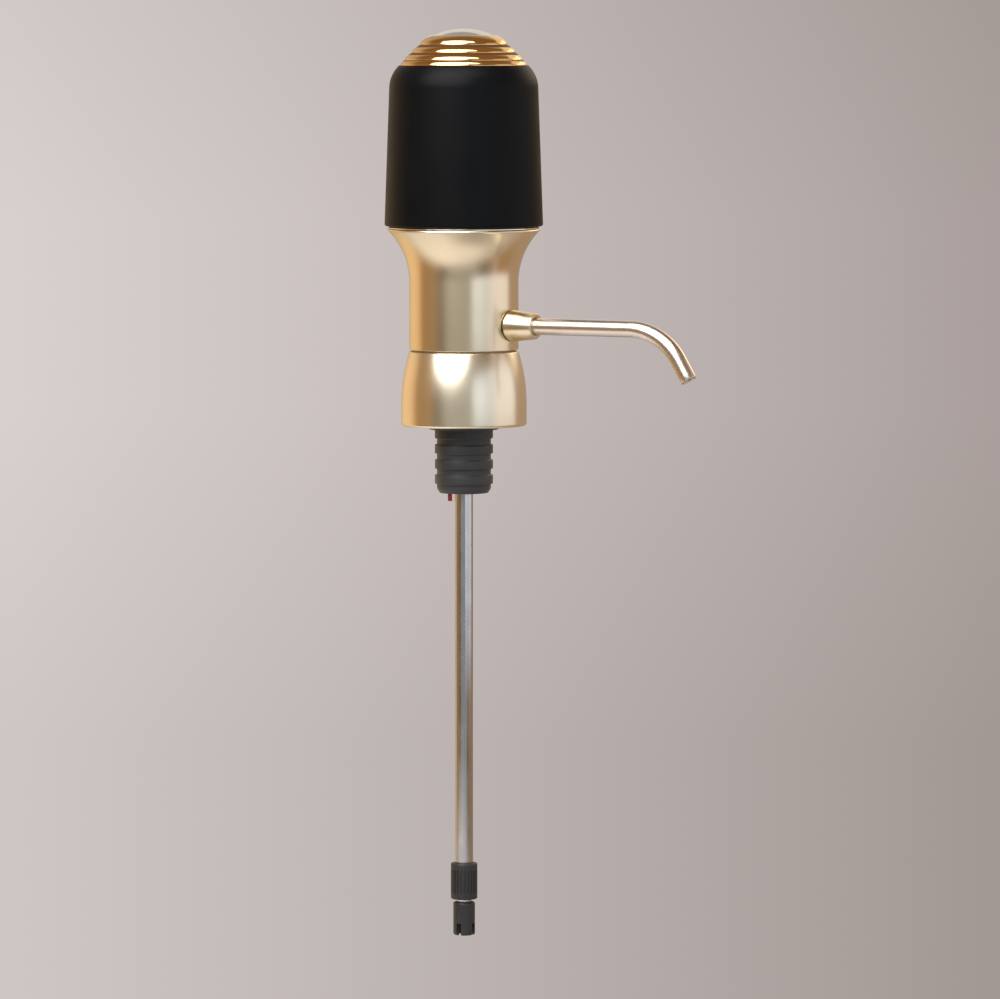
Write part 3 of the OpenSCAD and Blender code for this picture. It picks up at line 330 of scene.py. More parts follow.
# Finishes, by the record's material slot or by the place on a piece that they dress
# The numbers are roughness and its spread, width of patches, width of grain and its depth
FINISHES = {
    # Nickel-chrome plate on a turned cap: a mirror with faint turning rings
    "silver_button": Finish(
        "nickel_chrome_plate", "DAD8D4", "CBC9C5",
        0.12, 0.03, 6.0, 0.25, 0.002, Lay.CONCENTRIC, metallic=1.0,
    ),
    # Gold-anodised aluminium, polished before the bath: deep warm reflections
    "polished_gold": Finish(
        "polished_gold_anodised_aluminium", "F1CB90", "E8BD7C",
        0.1, 0.02, 7.0, 0.2, 0.0003, Lay.AROUND, metallic=1.0,
    ),
    # Painted shade in the grooves between the rings: a dark brown tone on their ledges, as thin dark lines
    "groove_painted_shade": Finish(
        "painted_groove_shade", "4E2F12", "40260E",
        0.5, 0.05, 4.0, 0.3, 0.002, specular=0.15,
    ),
    # Painted shadow in the joints over the base and at the spout's root: a dull dark metal tone, as soft
    # shadow lines
    "shadow_gap": Finish(
        "painted_shadow_gap", "A08C68", "927E5A",
        0.5, 0.05, 5.0, 0.3, 0.002, metallic=1.0,
    ),
    # Bright-cut edges of the champagne shells: the same metal, smoother and paler
    "cut_edge": Finish(
        "bright_cut_champagne_edge", "F0E6D0", "EADEC4",
        0.18, 0.02, 6.0, 0.25, 0.0003, Lay.AROUND, metallic=1.0,
    ),
    # Champagne-anodised aluminium, blasted with fine beads: broad soft streaks of light
    # Its roughness, and the next two metals', stays under 0.273: patches across 0.274 render as fine lines
    "satin_gold": Finish(
        "satin_champagne_anodised_aluminium", "EADDC2", "E4D5B6",
        0.26, 0.012, 12.0, 0.35, 0.0001, metallic=1.0,
    ),
    # A paler copy of the same anodised aluminium: painted light, lightening the base ring and a painted
    # highlight on the waist's rim
    "satin_painted_lighter": Finish(
        "satin_champagne_painted_lighter", "F0E6D0", "EADEC4",
        0.26, 0.012, 12.0, 0.35, 0.0001, metallic=1.0,
    ),
    # Stainless tube with a thin gold-tone coat: a paler, sharper metal than the shells
    "gold_tube": Finish(
        "gold_coated_stainless_tube", "E4DCD3", "D8CDC2",
        0.255, 0.015, 10.0, 0.3, 0.0001, metallic=1.0,
    ),
    # Soft-touch lacquer over ABS: near black, with a dull bloom at grazing angles
    "black_soft": Finish(
        "soft_touch_lacquer_on_abs", "07080A", "0A0B0C",
        0.4, 0.04, 14.0, 0.35, 0.002, specular=0.08,
    ),
    # Moulded ABS with a fine spark-eroded texture: dull and slightly uneven
    "black_plastic": Finish("black_moulded_abs", "1B1B1C", "222223", 0.45, 0.06, 8.0, 0.4, 0.01),
    # The same ABS without pigment: ivory, with soft highlights
    "pale_plastic": Finish("natural_moulded_abs", "D9D6CC", "CDC9BD", 0.42, 0.05, 8.0, 0.4, 0.006),
    # Acetal: white, waxy and smooth
    "white_plastic": Finish("white_acetal", "ECE9E1", "E2DED3", 0.3, 0.04, 6.0, 0.3, 0.003, sheen=0.05),
    # Pigmented acetal: an even, slightly waxy red
    "red_plastic": Finish("red_acetal", "B5322B", "9E2822", 0.3, 0.04, 5.0, 0.3, 0.003),
    # Drawn stainless steel: fine lines along the tube
    "steel": Finish(
        "drawn_stainless_steel", "C4C4C5", "B2B2B4",
        0.22, 0.05, 9.0, 0.12, 0.002, Lay.UPRIGHT, metallic=1.0,
    ),
    # Zinc-plated steel: bluish and slightly clouded
    "plated_steel": Finish(
        "zinc_plated_steel", "B9BCC0", "9EA3A8",
        0.28, 0.07, 4.0, 0.2, 0.002, metallic=1.0,
    ),
    # Sintered ferrite: dark grey and dry
    "magnet": Finish("sintered_ferrite", "36373A", "2B2C2E", 0.7, 0.08, 3.0, 0.25, 0.02),
    # Enamelled copper wire wound round the armature: glossy ridges side by side
    "copper_winding": Finish(
        "enamelled_copper_winding", "B4622D", "8E4A20",
        0.3, 0.06, 3.0, 0.35, 0.05, Lay.UPRIGHT, metallic=1.0,
    ),
    # Shrink sleeve on a dry cell, left unprinted: a tight glossy film
    "cell_wrap": Finish(
        "shrink_sleeve_on_cell", "B07034", "A2642B",
        0.28, 0.04, 12.0, 0.5, 0.003, coat=0.4,
    ),
    # Glass-fibre laminate under solder mask: glassy green over a faint weave
    "board_green": Finish(
        "green_solder_mask", "1C5A36", "17492C",
        0.3, 0.05, 3.0, 0.3, 0.006, coat=0.3,
    ),
    # Moulded epoxy of a chip: matt and charcoal
    "chip_black": Finish("moulded_epoxy", "1C1C1E", "252528", 0.55, 0.05, 2.0, 0.15, 0.006),
    # Extruded PVC round a wire: smooth, with a soft shine
    "lead_wire": Finish("pvc_wire_insulation", "A82420", "971F1B", 0.38, 0.04, 3.0, 0.3, 0.002),
    # Moulded silicone: black, dull, and slightly greasy in its highlights
    "silicone_black": Finish(
        "black_silicone", "1E1E20", "262628",
        0.5, 0.06, 6.0, 0.3, 0.008, sheen=0.1,
    ),
    # Unfilled silicone: milky, and lets some light through
    "silicone_clear": Finish(
        "milky_silicone", "D2D4D4", "C6C9C9",
        0.35, 0.04, 6.0, 0.3, 0.004, transmission=0.3,
    ),
    # Pigmented silicone of the valves: a dull red
    "rubber_red": Finish("red_silicone", "A32C25", "8E241E", 0.5, 0.06, 3.0, 0.25, 0.006, sheen=0.1),
}


def arc(center: Point, radius: float, start: float, end: float, steps: int) -> list[Corner]:
    """Places plain corners on an arc between two angles, in degrees from the radial direction."""
    turns = [math.radians(start + (end - start) * i / steps) for i in range(steps + 1)]
    return [(center[0] + radius * math.cos(t), center[1] + radius * math.sin(t), 0.0) for t in turns]


def sagged_radius(height: float, width: float) -> float:
    """Gives the radius of an arc that leaves a straight line by this width over this height."""
    return (height**2 + width**2) / (2 * width)


def rounded(corners: Sequence[Corner], steps: int) -> list[Point]:
    """Rounds the corners of a closed outline.

    Args:
        corners: Radius, place along the spindle and rounding of each. A rounding of 0 is a plain point.
        steps: Number of segments in a rounding.

    Returns:
        The outline's points.
    """
    points: list[Point] = []
    for i, here in enumerate(corners):
        place = Vector(here[:2])
        if here[2] == 0:
            points.append((here[0], here[1]))
            continue
        back = (Vector(corners[i - 1][:2]) - place).normalized()
        ahead = (Vector(corners[(i + 1) % len(corners)][:2]) - place).normalized()
        half = back.angle(ahead) / 2
        start = place + back * here[2] / math.tan(half)
        end = place + ahead * here[2] / math.tan(half)
        middle = place + (back + ahead).normalized() * here[2] / math.sin(half)
        for k in range(steps + 1):
            spoke = (start.lerp(end, k / steps) - middle).normalized()
            points.append(tuple(middle + spoke * here[2]))
    return points


def object_mode() -> None:
    """Leaves edit mode."""
    bpy.ops.object.mode_set(mode="OBJECT")


def edit_mode() -> None:
    """Enters edit mode."""
    bpy.ops.object.mode_set(mode="EDIT")


def deselect() -> None:
    """Leaves edit mode and drops the selection, in which the frame's nodes start."""
    if bpy.context.object is not None and bpy.context.object.mode != "OBJECT":
        object_mode()
    bpy.ops.object.select_all(action="DESELECT")


def activate(piece: Piece) -> None:
    """Selects one piece alone and makes it the active one.

    Args:
        piece: The piece.
    """
    deselect()
    bpy.context.view_layer.objects.active = piece
    piece.select_set(True)


def edit(pick: Pick, whole: bool) -> None:
    """Enters edit mode on the active piece.

    Args:
        pick: What is picked there.
        whole: Whether all of it starts picked, or none.
    """
    edit_mode()
    bpy.ops.mesh.select_mode(type=pick.value)
    bpy.ops.mesh.select_all(action="SELECT" if whole else "DESELECT")


def weld() -> None:
    """Picks the whole mesh in edit mode and merges its doubled corners."""
    bpy.ops.mesh.select_all(action="SELECT")
    bpy.ops.mesh.remove_doubles(threshold=WELD)


def settle() -> None:
    """Takes the active object's place, turn and scale into its mesh."""
    bpy.ops.object.transform_apply(location=True, rotation=True, scale=True)


def select_faces(piece: Piece, wanted: Callable[[Face], bool]) -> None:
    """Selects a piece's faces by their place or normal and enters edit mode.

    Args:
        piece: The piece, in object mode.
        wanted: Says of a face whether it is selected.
    """
    edit(Pick.FACES, whole=False)
    object_mode()
    for face in piece.data.polygons:
        face.select = wanted(face)
    edit_mode()


def turn_outward(piece: Piece) -> None:
    """Points the faces of a closed piece outwards, by the sign of its volume.

    Args:
        piece: The piece, in object mode, with its faces turned alike.
    """
    if sum(face.center.dot(face.normal) * face.area for face in piece.data.polygons) < 0:
        edit(Pick.FACES, whole=True)
        bpy.ops.mesh.flip_normals()
        object_mode()


def merge_slivers(piece: Piece) -> None:
    """Merges the slivers that cuts and bevels leave, and the corners that join only two edges.

    Args:
        piece: The piece, in object mode.
    """
    activate(piece)
    edit(Pick.CORNERS, whole=True)
    bpy.ops.mesh.remove_doubles(threshold=SLIVER)
    bpy.ops.mesh.dissolve_degenerate(threshold=SLIVER)
    bpy.ops.mesh.select_all(action="DESELECT")
    object_mode()
    ends = Counter(corner for edge in piece.data.edges for corner in edge.vertices)
    for vertex in piece.data.vertices:
        vertex.select = ends[vertex.index] == 2
    edit_mode()
    bpy.ops.mesh.dissolve_verts()
    object_mode()


def lathe(
    name: str, corners: Sequence[Corner], sides: int, bends: int = 4, spindle: Spindle = Spindle.MAIN
) -> Piece:
    """Draws a closed outline point by point and spins it into a round piece.

    Args:
        name: The piece's name.
        corners: The outline's corners, as rounded() takes them.
        sides: Number of segments around.
        bends: Number of segments in the rounding of a corner.
        spindle: The line that the piece is turned about.

    Returns:
        The piece, in object mode.
    """
    outline = rounded(corners, bends)
    if spindle is Spindle.MAIN:
        places = [Vector((r, 0, along)) * MM for r, along in outline]
    else:
        places = [Vector((along, 0, SPOUT_Z + r)) * MM for r, along in outline]
    deselect()
    bpy.ops.mesh.primitive_plane_add(size=MM, location=places[0])
    piece = bpy.context.object
    piece.name = name
    settle()
    edit(Pick.CORNERS, whole=True)
    bpy.ops.mesh.merge(type="CENTER")
    for here, there in zip(places, [*places[1:], places[0]]):
        bpy.ops.mesh.extrude_vertices_move(TRANSFORM_OT_translate={"value": there - here})
    weld()
    center, axis = SPINDLE_PLACE[spindle], SPINDLE_AXIS[spindle]
    bpy.ops.mesh.spin(steps=sides, angle=math.tau, center=center, axis=axis)
    weld()
    bpy.ops.mesh.delete_loose()
    bpy.ops.mesh.normals_make_consistent(inside=False)
    object_mode()
    turn_outward(piece)
    return piece


def apply_modifier(piece: Piece, kind: str, **settings: object) -> None:
    """Adds a modifier to a piece and applies it.

    Args:
        piece: The piece.
        kind: The modifier's Blender type.
        **settings: Its own properties.
    """
    activate(piece)
    modifier = piece.modifiers.new(kind.lower(), kind)
    for key, value in settings.items():
        setattr(modifier, key, value)
    bpy.ops.object.modifier_apply(modifier=modifier.name)


def combine(piece: Piece, part: Piece, how: Join = Join.CUT) -> None:
    """Cuts a solid out of a piece, or adds it to the piece, and removes the solid."""
    apply_modifier(piece, "BOOLEAN", operation=how.value, object=part, solver="EXACT")
    bpy.data.objects.remove(part)


def soften(piece: Piece, width: float, segments: int, sharp: float) -> None:
    """Bevels the edges of a piece that are steeper than this many degrees."""
    limit = {"limit_method": "ANGLE", "angle_limit": math.radians(sharp)}
    apply_modifier(piece, "BEVEL", width=width * MM, segments=segments, **limit)


def ring_of(piece: Piece, count: int, radius: float, start: float = 0.0) -> list[Piece]:
    """Copies a piece to even places around the main line, and removes the first one.

    Args:
        piece: The piece, drawn on the main line.
        count: Number of copies.
        radius: Radius of the ring that they stand on.
        start: Angle of the first copy, in degrees.

    Returns:
        The copies, each with its own mesh.
    """
    copies = []
    for i in range(count):
        activate(piece)
        bpy.ops.object.duplicate()
        copy = bpy.context.object
        turn = math.radians(start + 360 * i / count)
        copy.location = Vector((math.cos(turn), math.sin(turn), 0)) * (radius * MM)
        settle()
        copies.append(copy)
    bpy.data.objects.remove(piece)
    return copies


def fit(piece: Piece, slot: str, body: str, *nodes: str, sharp: float = 35.0) -> None:
    """Dresses a finished piece and hands it to the body that carries it.

    Args:
        piece: The piece.
        slot: The record's material slot.
        body: The body that it rides on.
        *nodes: The nodes that it stands for.
        sharp: Edges steeper than this many degrees stay sharp.
    """
    activate(piece)
    bpy.ops.object.shade_smooth_by_angle(angle=math.radians(sharp))
    if not piece.data.materials:
        piece.data.materials.append(FINISHES[slot].material())
    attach(piece, body)
    if nodes:
        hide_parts(*nodes)
    LOG.info("%s rides on %s", piece.name, body)


def two_tone(piece: Piece, main: str, second: str, wanted: Callable[[Face], bool]) -> None:
    """Gives the chosen faces of a piece a finish of their own.

    Args:
        piece: The piece.
        main: The finish of the other faces.
        second: The finish of the chosen faces.
        wanted: Says of a face whether it is chosen.
    """
    if not piece.data.materials:
        piece.data.materials.append(FINISHES[main].material())
    piece.data.materials.append(FINISHES[second].material())
    activate(piece)
    select_faces(piece, wanted)
    piece.active_material_index = len(piece.data.materials) - 1
    bpy.ops.object.material_slot_assign()
    object_mode()


@dataclass
class ButtonAndCrown:
    """The silver button in its ribbed gold crown."""

    foot_z: float = 119.6
    top_z: float = 129.6
    foot_r: float = 20.345
    opening_r: float = 10.45
    opening_round: float = 0.1
    ring_feet: tuple[Point, ...] = ((20.75, 119.6), (19.35, 121.3), (16.95, 123.8), (14.2, 126.4))
    ring_tops: tuple[Point, ...] = ((20.0, 120.95), (18.2, 123.0), (15.7, 125.5), (10.95, 129.45))
    ring_lean: float = 2.0
    ring_steps: int = 16
    wall: float = 1.8
    lip_t: float = 1.6
    lip_r: float = 11.35
    button_r: float = 10.3
    button_rise: float = 2.0
    button_sink: float = 0.4
    button_wall: float = 1.7
    dome_start: float = 0.6
    dome_steps: int = 28
    flange_w: float = 0.6
    flange_t: float = 1.1
    flange_z: float = 126.85
    cavity_z: float = 129.3
    stem_r: float = 2.0
    stem_z: float = 120.6
    steps: int = 160

    def build(self) -> None:
        """Builds the crown and the button."""
        self.build_crown()
        self.build_button()

    def ring_face(self, foot: Point, top: Point) -> list[Corner]:
        """Draws the face of one ring, upright at its foot and leaning in towards its top.

        Args:
            foot: Its lower edge.
            top: Its upper edge, where the next ledge starts.

        Returns:
            Its points from below.
        """
        width, height = top[0] - foot[0], top[1] - foot[1]
        shares = [k / self.ring_steps for k in range(self.ring_steps + 1)]
        return [(foot[0] + width * t**self.ring_lean, foot[1] + height * t, 0.0) for t in shares]

    def build_crown(self) -> None:
        """Turns the stepped rings and paints shade into the grooves between them."""
        edges = zip(self.ring_feet, self.ring_tops)
        rings = [corner for foot, top in edges for corner in self.ring_face(foot, top)]
        corners = [
            *rings,
            (self.opening_r, self.top_z - self.opening_round, self.opening_round),
            (self.opening_r, self.top_z - self.lip_t, 0.0),
            (self.lip_r, self.top_z - self.lip_t, 0.0),
            (self.foot_r - self.wall, self.foot_z, 0.0),
        ]
        crown = lathe("crown_rings", corners, self.steps)
        grooves = [(top[1] * MM, foot[1] * MM) for top, foot in zip(self.ring_tops, self.ring_feet[1:])]

        def shaded_ledge(face: Face) -> bool:
            """Picks the ledges between the rings, on the outside, which get the painted shade."""
            return face.normal.z > 0 and any(low < face.center.z < high for low, high in grooves)

        # The ledges get the painted groove shade, a dark brown tone
        two_tone(crown, "polished_gold", "groove_painted_shade", shaded_ledge)
        fit(crown, "polished_gold", "cover", "crown")

    def build_button(self) -> None:
        """Turns the hollow button with its dome, flange and stem."""
        rise = self.button_rise + self.button_sink
        dome_r = sagged_radius(self.button_r, rise)
        edge = math.degrees(math.acos(self.button_r / dome_r))
        center = (0.0, self.top_z + self.button_rise - dome_r)
        inner, outer = self.button_r - self.button_wall, self.button_r + self.flange_w
        flange_top = self.flange_z + self.flange_t
        corners = [
            (0.0, self.stem_z, 0.0),
            (self.stem_r, self.stem_z, 0.3),
            (self.stem_r, self.cavity_z, 0.3),
            (inner, self.cavity_z, 0.0),
            (inner, self.flange_z, 0.0),
            (outer, self.flange_z, 0.0),
            (outer, flange_top, 0.0),
            (self.button_r, flange_top, 0.0),
            (self.button_r, self.top_z - self.button_sink, 0.1),
            *arc(center, dome_r, edge + self.dome_start, 90, self.dome_steps),
        ]
        button = lathe("button_cap", corners, self.steps, bends=6)
        fit(button, "silver_button", "button", "push_button", sharp=50.0)


@dataclass
class BatteryCover:
    """The soft black housing over motor and cells."""

    bottom_z: float = 66.9
    shoulder_z: float = 112.0
    top_z: float = 119.6
    bottom_r: float = 26.1
    shoulder_r: float = 24.5
    shoulder_round: float = 10.5
    shoulder_steps: int = 22
    inner_steps: int = 16
    wall: float = 2.0
    opening_r: float = 11.0
    steps: int = 160

    def build(self) -> None:
        """Builds the housing."""
        center = (self.shoulder_r - self.shoulder_round, self.shoulder_z)
        rise = self.top_z - self.shoulder_z
        inner_round = self.shoulder_round - self.wall
        end = math.degrees(math.asin(rise / self.shoulder_round))
        inner_end = math.degrees(math.asin((rise - self.wall) / inner_round))
        outside = arc(center, self.shoulder_round, 0, end, self.shoulder_steps)
        outside[-1] = (outside[-1][0], self.top_z, 0.5)
        corners = [
            (self.bottom_r - self.wall, self.bottom_z, 0.2),
            (self.bottom_r, self.bottom_z, 0.7),
            *outside,
            (self.opening_r, self.top_z, 0.2),
            (self.opening_r, self.top_z - self.wall, 0.2),
            *arc(center, inner_round, inner_end, 0, self.inner_steps),
        ]
        cover = lathe("cover_shell", corners, self.steps, bends=6)
        fit(cover, "black_soft", "cover", "housing", sharp=50.0)


@dataclass
class WaistAndBase:
    """The flared gold waist and the bell-shaped base ring under its seam."""

    base_z: float = 1.2
    straight_h: float = 7.0
    seam_z: float = 25.7
    groove_h: float = 0.6
    groove_depth: float = 0.9
    groove_inset: float = 0.15
    groove_margin: float = 0.05
    base_r: float = 20.7
    bright_h: float = 0.9
    waist_r: float = 18.0
    flare_z: float = 48.4
    flare_steps: int = 40
    rim_z: float = 65.4
    rim_top_z: float = 66.6
    rim_r: float = 25.2
    rim_lip: float = 0.25
    rim_lift: float = 0.05
    rim_margin: float = 0.02
    rim_round: float = 0.8
    rim_turn: float = 60.0
    rim_steps: int = 10
    wall: float = 1.5
    inner_steps: int = 16
    collar_z: float = 19.7
    collar_r: float = 16.4
    collar_in_r: float = 14.9
    collar_gap: float = 0.1
    floor_t: float = 1.2
    ledge_z: float = 63.8
    plate_top_z: float = 3.4
    base_in_r: float = 17.75
    recess_r: float = 18.75
    bell_steps: int = 30
    steps: int = 168

    def build(self) -> None:
        """Builds the waist and the base ring."""
        self.build_waist()
        self.build_base()

    def waist_outline(self) -> list[Corner]:
        """Draws the wall of the waist, from the collar in the base up to the rim.

        Returns:
            The corners of a closed outline.
        """
        height = self.rim_z - self.flare_z
        radius = sagged_radius(height, self.rim_r - self.rim_lip - self.waist_r)
        center = (self.waist_r + radius, self.flare_z)
        end = 180 - math.degrees(math.asin(height / radius))
        inner_r = radius + self.wall
        inner_end = 180 - math.degrees(math.asin((self.ledge_z - self.flare_z) / inner_r))
        inside = arc(center, inner_r, inner_end, 180, self.inner_steps)
        groove_top = self.seam_z + self.groove_h
        floor_z = groove_top + self.floor_t
        lip_center = (self.rim_r - self.rim_round, self.rim_z + self.rim_lift)
        lip = arc(lip_center, self.rim_round, 0, self.rim_turn, self.rim_steps)
        return [
            (self.collar_r, self.collar_z, 0.3),
            (self.collar_r, self.seam_z, 0.0),
            (self.waist_r - self.groove_depth, self.seam_z, 0.0),
            (self.waist_r - self.groove_depth, groove_top, 0.0),
            (self.waist_r, groove_top, 0.22),
            *arc(center, radius, 180, end, self.flare_steps),
            *lip,
            (lip[-1][0], self.rim_top_z, 0.2),
            (inside[0][0], self.rim_top_z, 0.0),
            *inside,
            (self.waist_r - self.wall, floor_z, 0.0),
            (self.collar_in_r, floor_z, 0.0),
            (self.collar_in_r, self.collar_z, 0.0),
        ]

    def build_waist(self) -> None:
        """Turns the waist, with a painted highlight on its rim and painted shadow in the groove above the
        seam.
        """
        waist = lathe("waist_flare", self.waist_outline(), self.steps, bends=5)
        # The rim takes the paler copy of the metal: a painted highlight
        rim = (self.rim_z - self.rim_margin) * MM
        two_tone(waist, "satin_gold", "satin_painted_lighter", lambda face: face.center.z > rim)
        low = (self.seam_z - self.groove_margin) * MM
        high = (self.seam_z + self.groove_h + self.groove_margin) * MM
        reach = (self.waist_r - self.groove_inset) * MM

        def shadowed_walls(face: Face) -> bool:
            """Picks the walls of the groove above the seam, which get the painted shadow."""
            return low < face.center.z < high and face.center.xy.length < reach

        two_tone(waist, "satin_gold", "shadow_gap", shadowed_walls)
        fit(waist, "satin_gold", "body", "waist_shell")

    def build_base(self) -> None:
        """Turns the base ring, painted lighter with the paler copy of the waist's metal, with its bright
        lower edge.
        """
        straight_z = self.base_z + self.straight_h
        height = self.seam_z - straight_z
        radius = sagged_radius(height, self.base_r - self.waist_r)
        end = math.degrees(math.asin(height / radius))
        bell = arc((self.base_r - radius, straight_z), radius, 0, end, self.bell_steps)
        bell[-1] = (self.waist_r, self.seam_z, 0.25)
        collar_r, collar_z = self.collar_r + self.collar_gap, self.collar_z - self.collar_gap
        corners = [
            (self.recess_r, self.base_z, 0.15),
            (self.base_r, self.base_z, 0.95),
            *bell,
            (collar_r, self.seam_z, 0.0),
            (collar_r, collar_z, 0.0),
            (self.base_in_r, collar_z, 0.0),
            (self.base_in_r, self.plate_top_z, 0.0),
            (self.recess_r, self.plate_top_z, 0.0),
        ]
        base = lathe("base_bell", corners, self.steps, bends=6)
        edge = (self.base_z + self.bright_h) * MM
        # The base ring is painted lighter by the paler copy of the waist's metal
        two_tone(base, "satin_painted_lighter", "cut_edge", lambda face: face.center.z < edge)
        fit(base, "satin_gold", "body", "base_ring")


@dataclass
class Spout:
    """The conical sleeve on the waist and the bent tube in it."""

    waist_r: float = 18.05
    waist_sides: int = 256
    waist_h: float = 24.0
    root_x: float = 16.0
    root_r: float = 5.5
    root_gap: float = 0.75
    # Share of the root's rounding that takes the painted shadow
    root_dark: float = 0.7
    root_core_r: float = 4.0
    touch: float = 0.02
    end_x: float = 27.4
    end_r: float = 4.2
    mouth_r: float = 3.0
    mouth_l: float = 0.3
    bore_r: float = 2.85
    sleeve_sides: int = 96
    sleeve_edge: float = 0.2
    sleeve_sharp: float = 40.0
    edge_steps: int = 4
    tube_r: float = 2.75
    tube_wall: float = 0.7
    tube_start: float = 7.02
    tube_sides: int = 72
    tube_edge: float = 0.18
    tube_edge_steps: int = 3
    tube_sharp: float = 50.0
    bend_x: float = 62.5
    bend_r: float = 21.0
    bend: float = 59.0
    tail: float = 7.0
    straight_steps: int = 8
    bend_steps: int = 48
    tail_steps: int = 4

    def build(self) -> None:
        """Builds the sleeve and the tube."""
        self.build_sleeve()
        self.build_tube()

    def build_sleeve(self) -> None:
        """Turns the cone, cuts its root to the waist's round and paints a shadow along the root."""
        corners = [
            (self.bore_r, self.root_x, 0.0),
            (self.root_r, self.root_x, 0.0),
            (self.end_r, self.end_x, 0.25),
            (self.mouth_r, self.end_x, 0.0),
            (self.bore_r, self.end_x - self.mouth_l, 0.0),
        ]
        sleeve = lathe("spout_cone", corners, self.sleeve_sides, bends=5, spindle=Spindle.SPOUT)
        deselect()
        bpy.ops.mesh.primitive_cylinder_add(
            vertices=self.waist_sides,
            radius=self.waist_r * MM,
            depth=self.waist_h * MM,
            location=SPINDLE_PLACE[Spindle.SPOUT],
        )
        combine(sleeve, bpy.context.object)
        self.round_root(sleeve)
        soften(sleeve, self.sleeve_edge, self.edge_steps, self.sleeve_sharp)
        merge_slivers(sleeve)
        # The root's joint with the waist gets a painted shadow, a dull dark metal tone
        dark_r = (self.waist_r + self.root_dark * self.root_gap) * MM
        two_tone(sleeve, "satin_gold", "shadow_gap", lambda face: face.center.xy.length < dark_r)
        fit(sleeve, "satin_gold", "body", "spout_sleeve")

    def round_root(self, sleeve: Piece) -> None:
        """Rounds the edge that the cone's root leaves against the waist.

        Args:
            sleeve: The cone, cut to the waist's round.
        """
        reach, line = self.waist_r * MM, Vector((0, SPOUT_Z * MM))
        edit(Pick.EDGES, whole=False)
        bpy.ops.mesh.edges_select_sharp(sharpness=math.radians(self.sleeve_sharp))
        object_mode()
        spots = [vertex.co for vertex in sleeve.data.vertices]
        for edge in sleeve.data.edges:
            ends = [spots[i] for i in edge.vertices]
            at_waist = all(abs(end.xy.length - reach) < self.touch * MM for end in ends)
            outside = all((end.yz - line).length > self.root_core_r * MM for end in ends)
            edge.select = edge.select and at_waist and outside
        edit_mode()
        bpy.ops.mesh.bevel(offset=self.root_gap * MM, segments=self.edge_steps, affect="EDGES")
        object_mode()

    def build_tube(self) -> None:
        """Extrudes a ring along the straight, spins it round the bend and gives it a wall."""
        deselect()
        bpy.ops.mesh.primitive_circle_add(
            vertices=self.tube_sides,
            radius=self.tube_r * MM,
            location=(self.tube_start * MM, 0, SPOUT_Z * MM),
            rotation=(0, math.pi / 2, 0),
        )
        tube = bpy.context.object
        tube.name = "spout_pipe"
        settle()
        edit(Pick.EDGES, whole=True)
        step = Vector(((self.bend_x - self.tube_start) / self.straight_steps * MM, 0, 0))
        for _ in range(self.straight_steps):
            bpy.ops.mesh.extrude_edges_move(TRANSFORM_OT_translate={"value": step})
        turn = math.radians(self.bend)
        center = (self.bend_x * MM, 0, (SPOUT_Z - self.bend_r) * MM)
        bpy.ops.mesh.spin(steps=self.bend_steps, angle=turn, center=center, axis=(0, -1, 0))
        step = Vector((math.cos(turn), 0, -math.sin(turn))) * (self.tail / self.tail_steps * MM)
        for _ in range(self.tail_steps):
            bpy.ops.mesh.extrude_edges_move(TRANSFORM_OT_translate={"value": step})
        weld()
        bpy.ops.mesh.normals_make_consistent(inside=False)
        object_mode()
        apply_modifier(tube, "SOLIDIFY", thickness=self.tube_wall * MM, offset=-1.0)
        soften(tube, self.tube_edge, self.tube_edge_steps, self.tube_sharp)
        fit(tube, "gold_tube", "spout", "spout_tube")


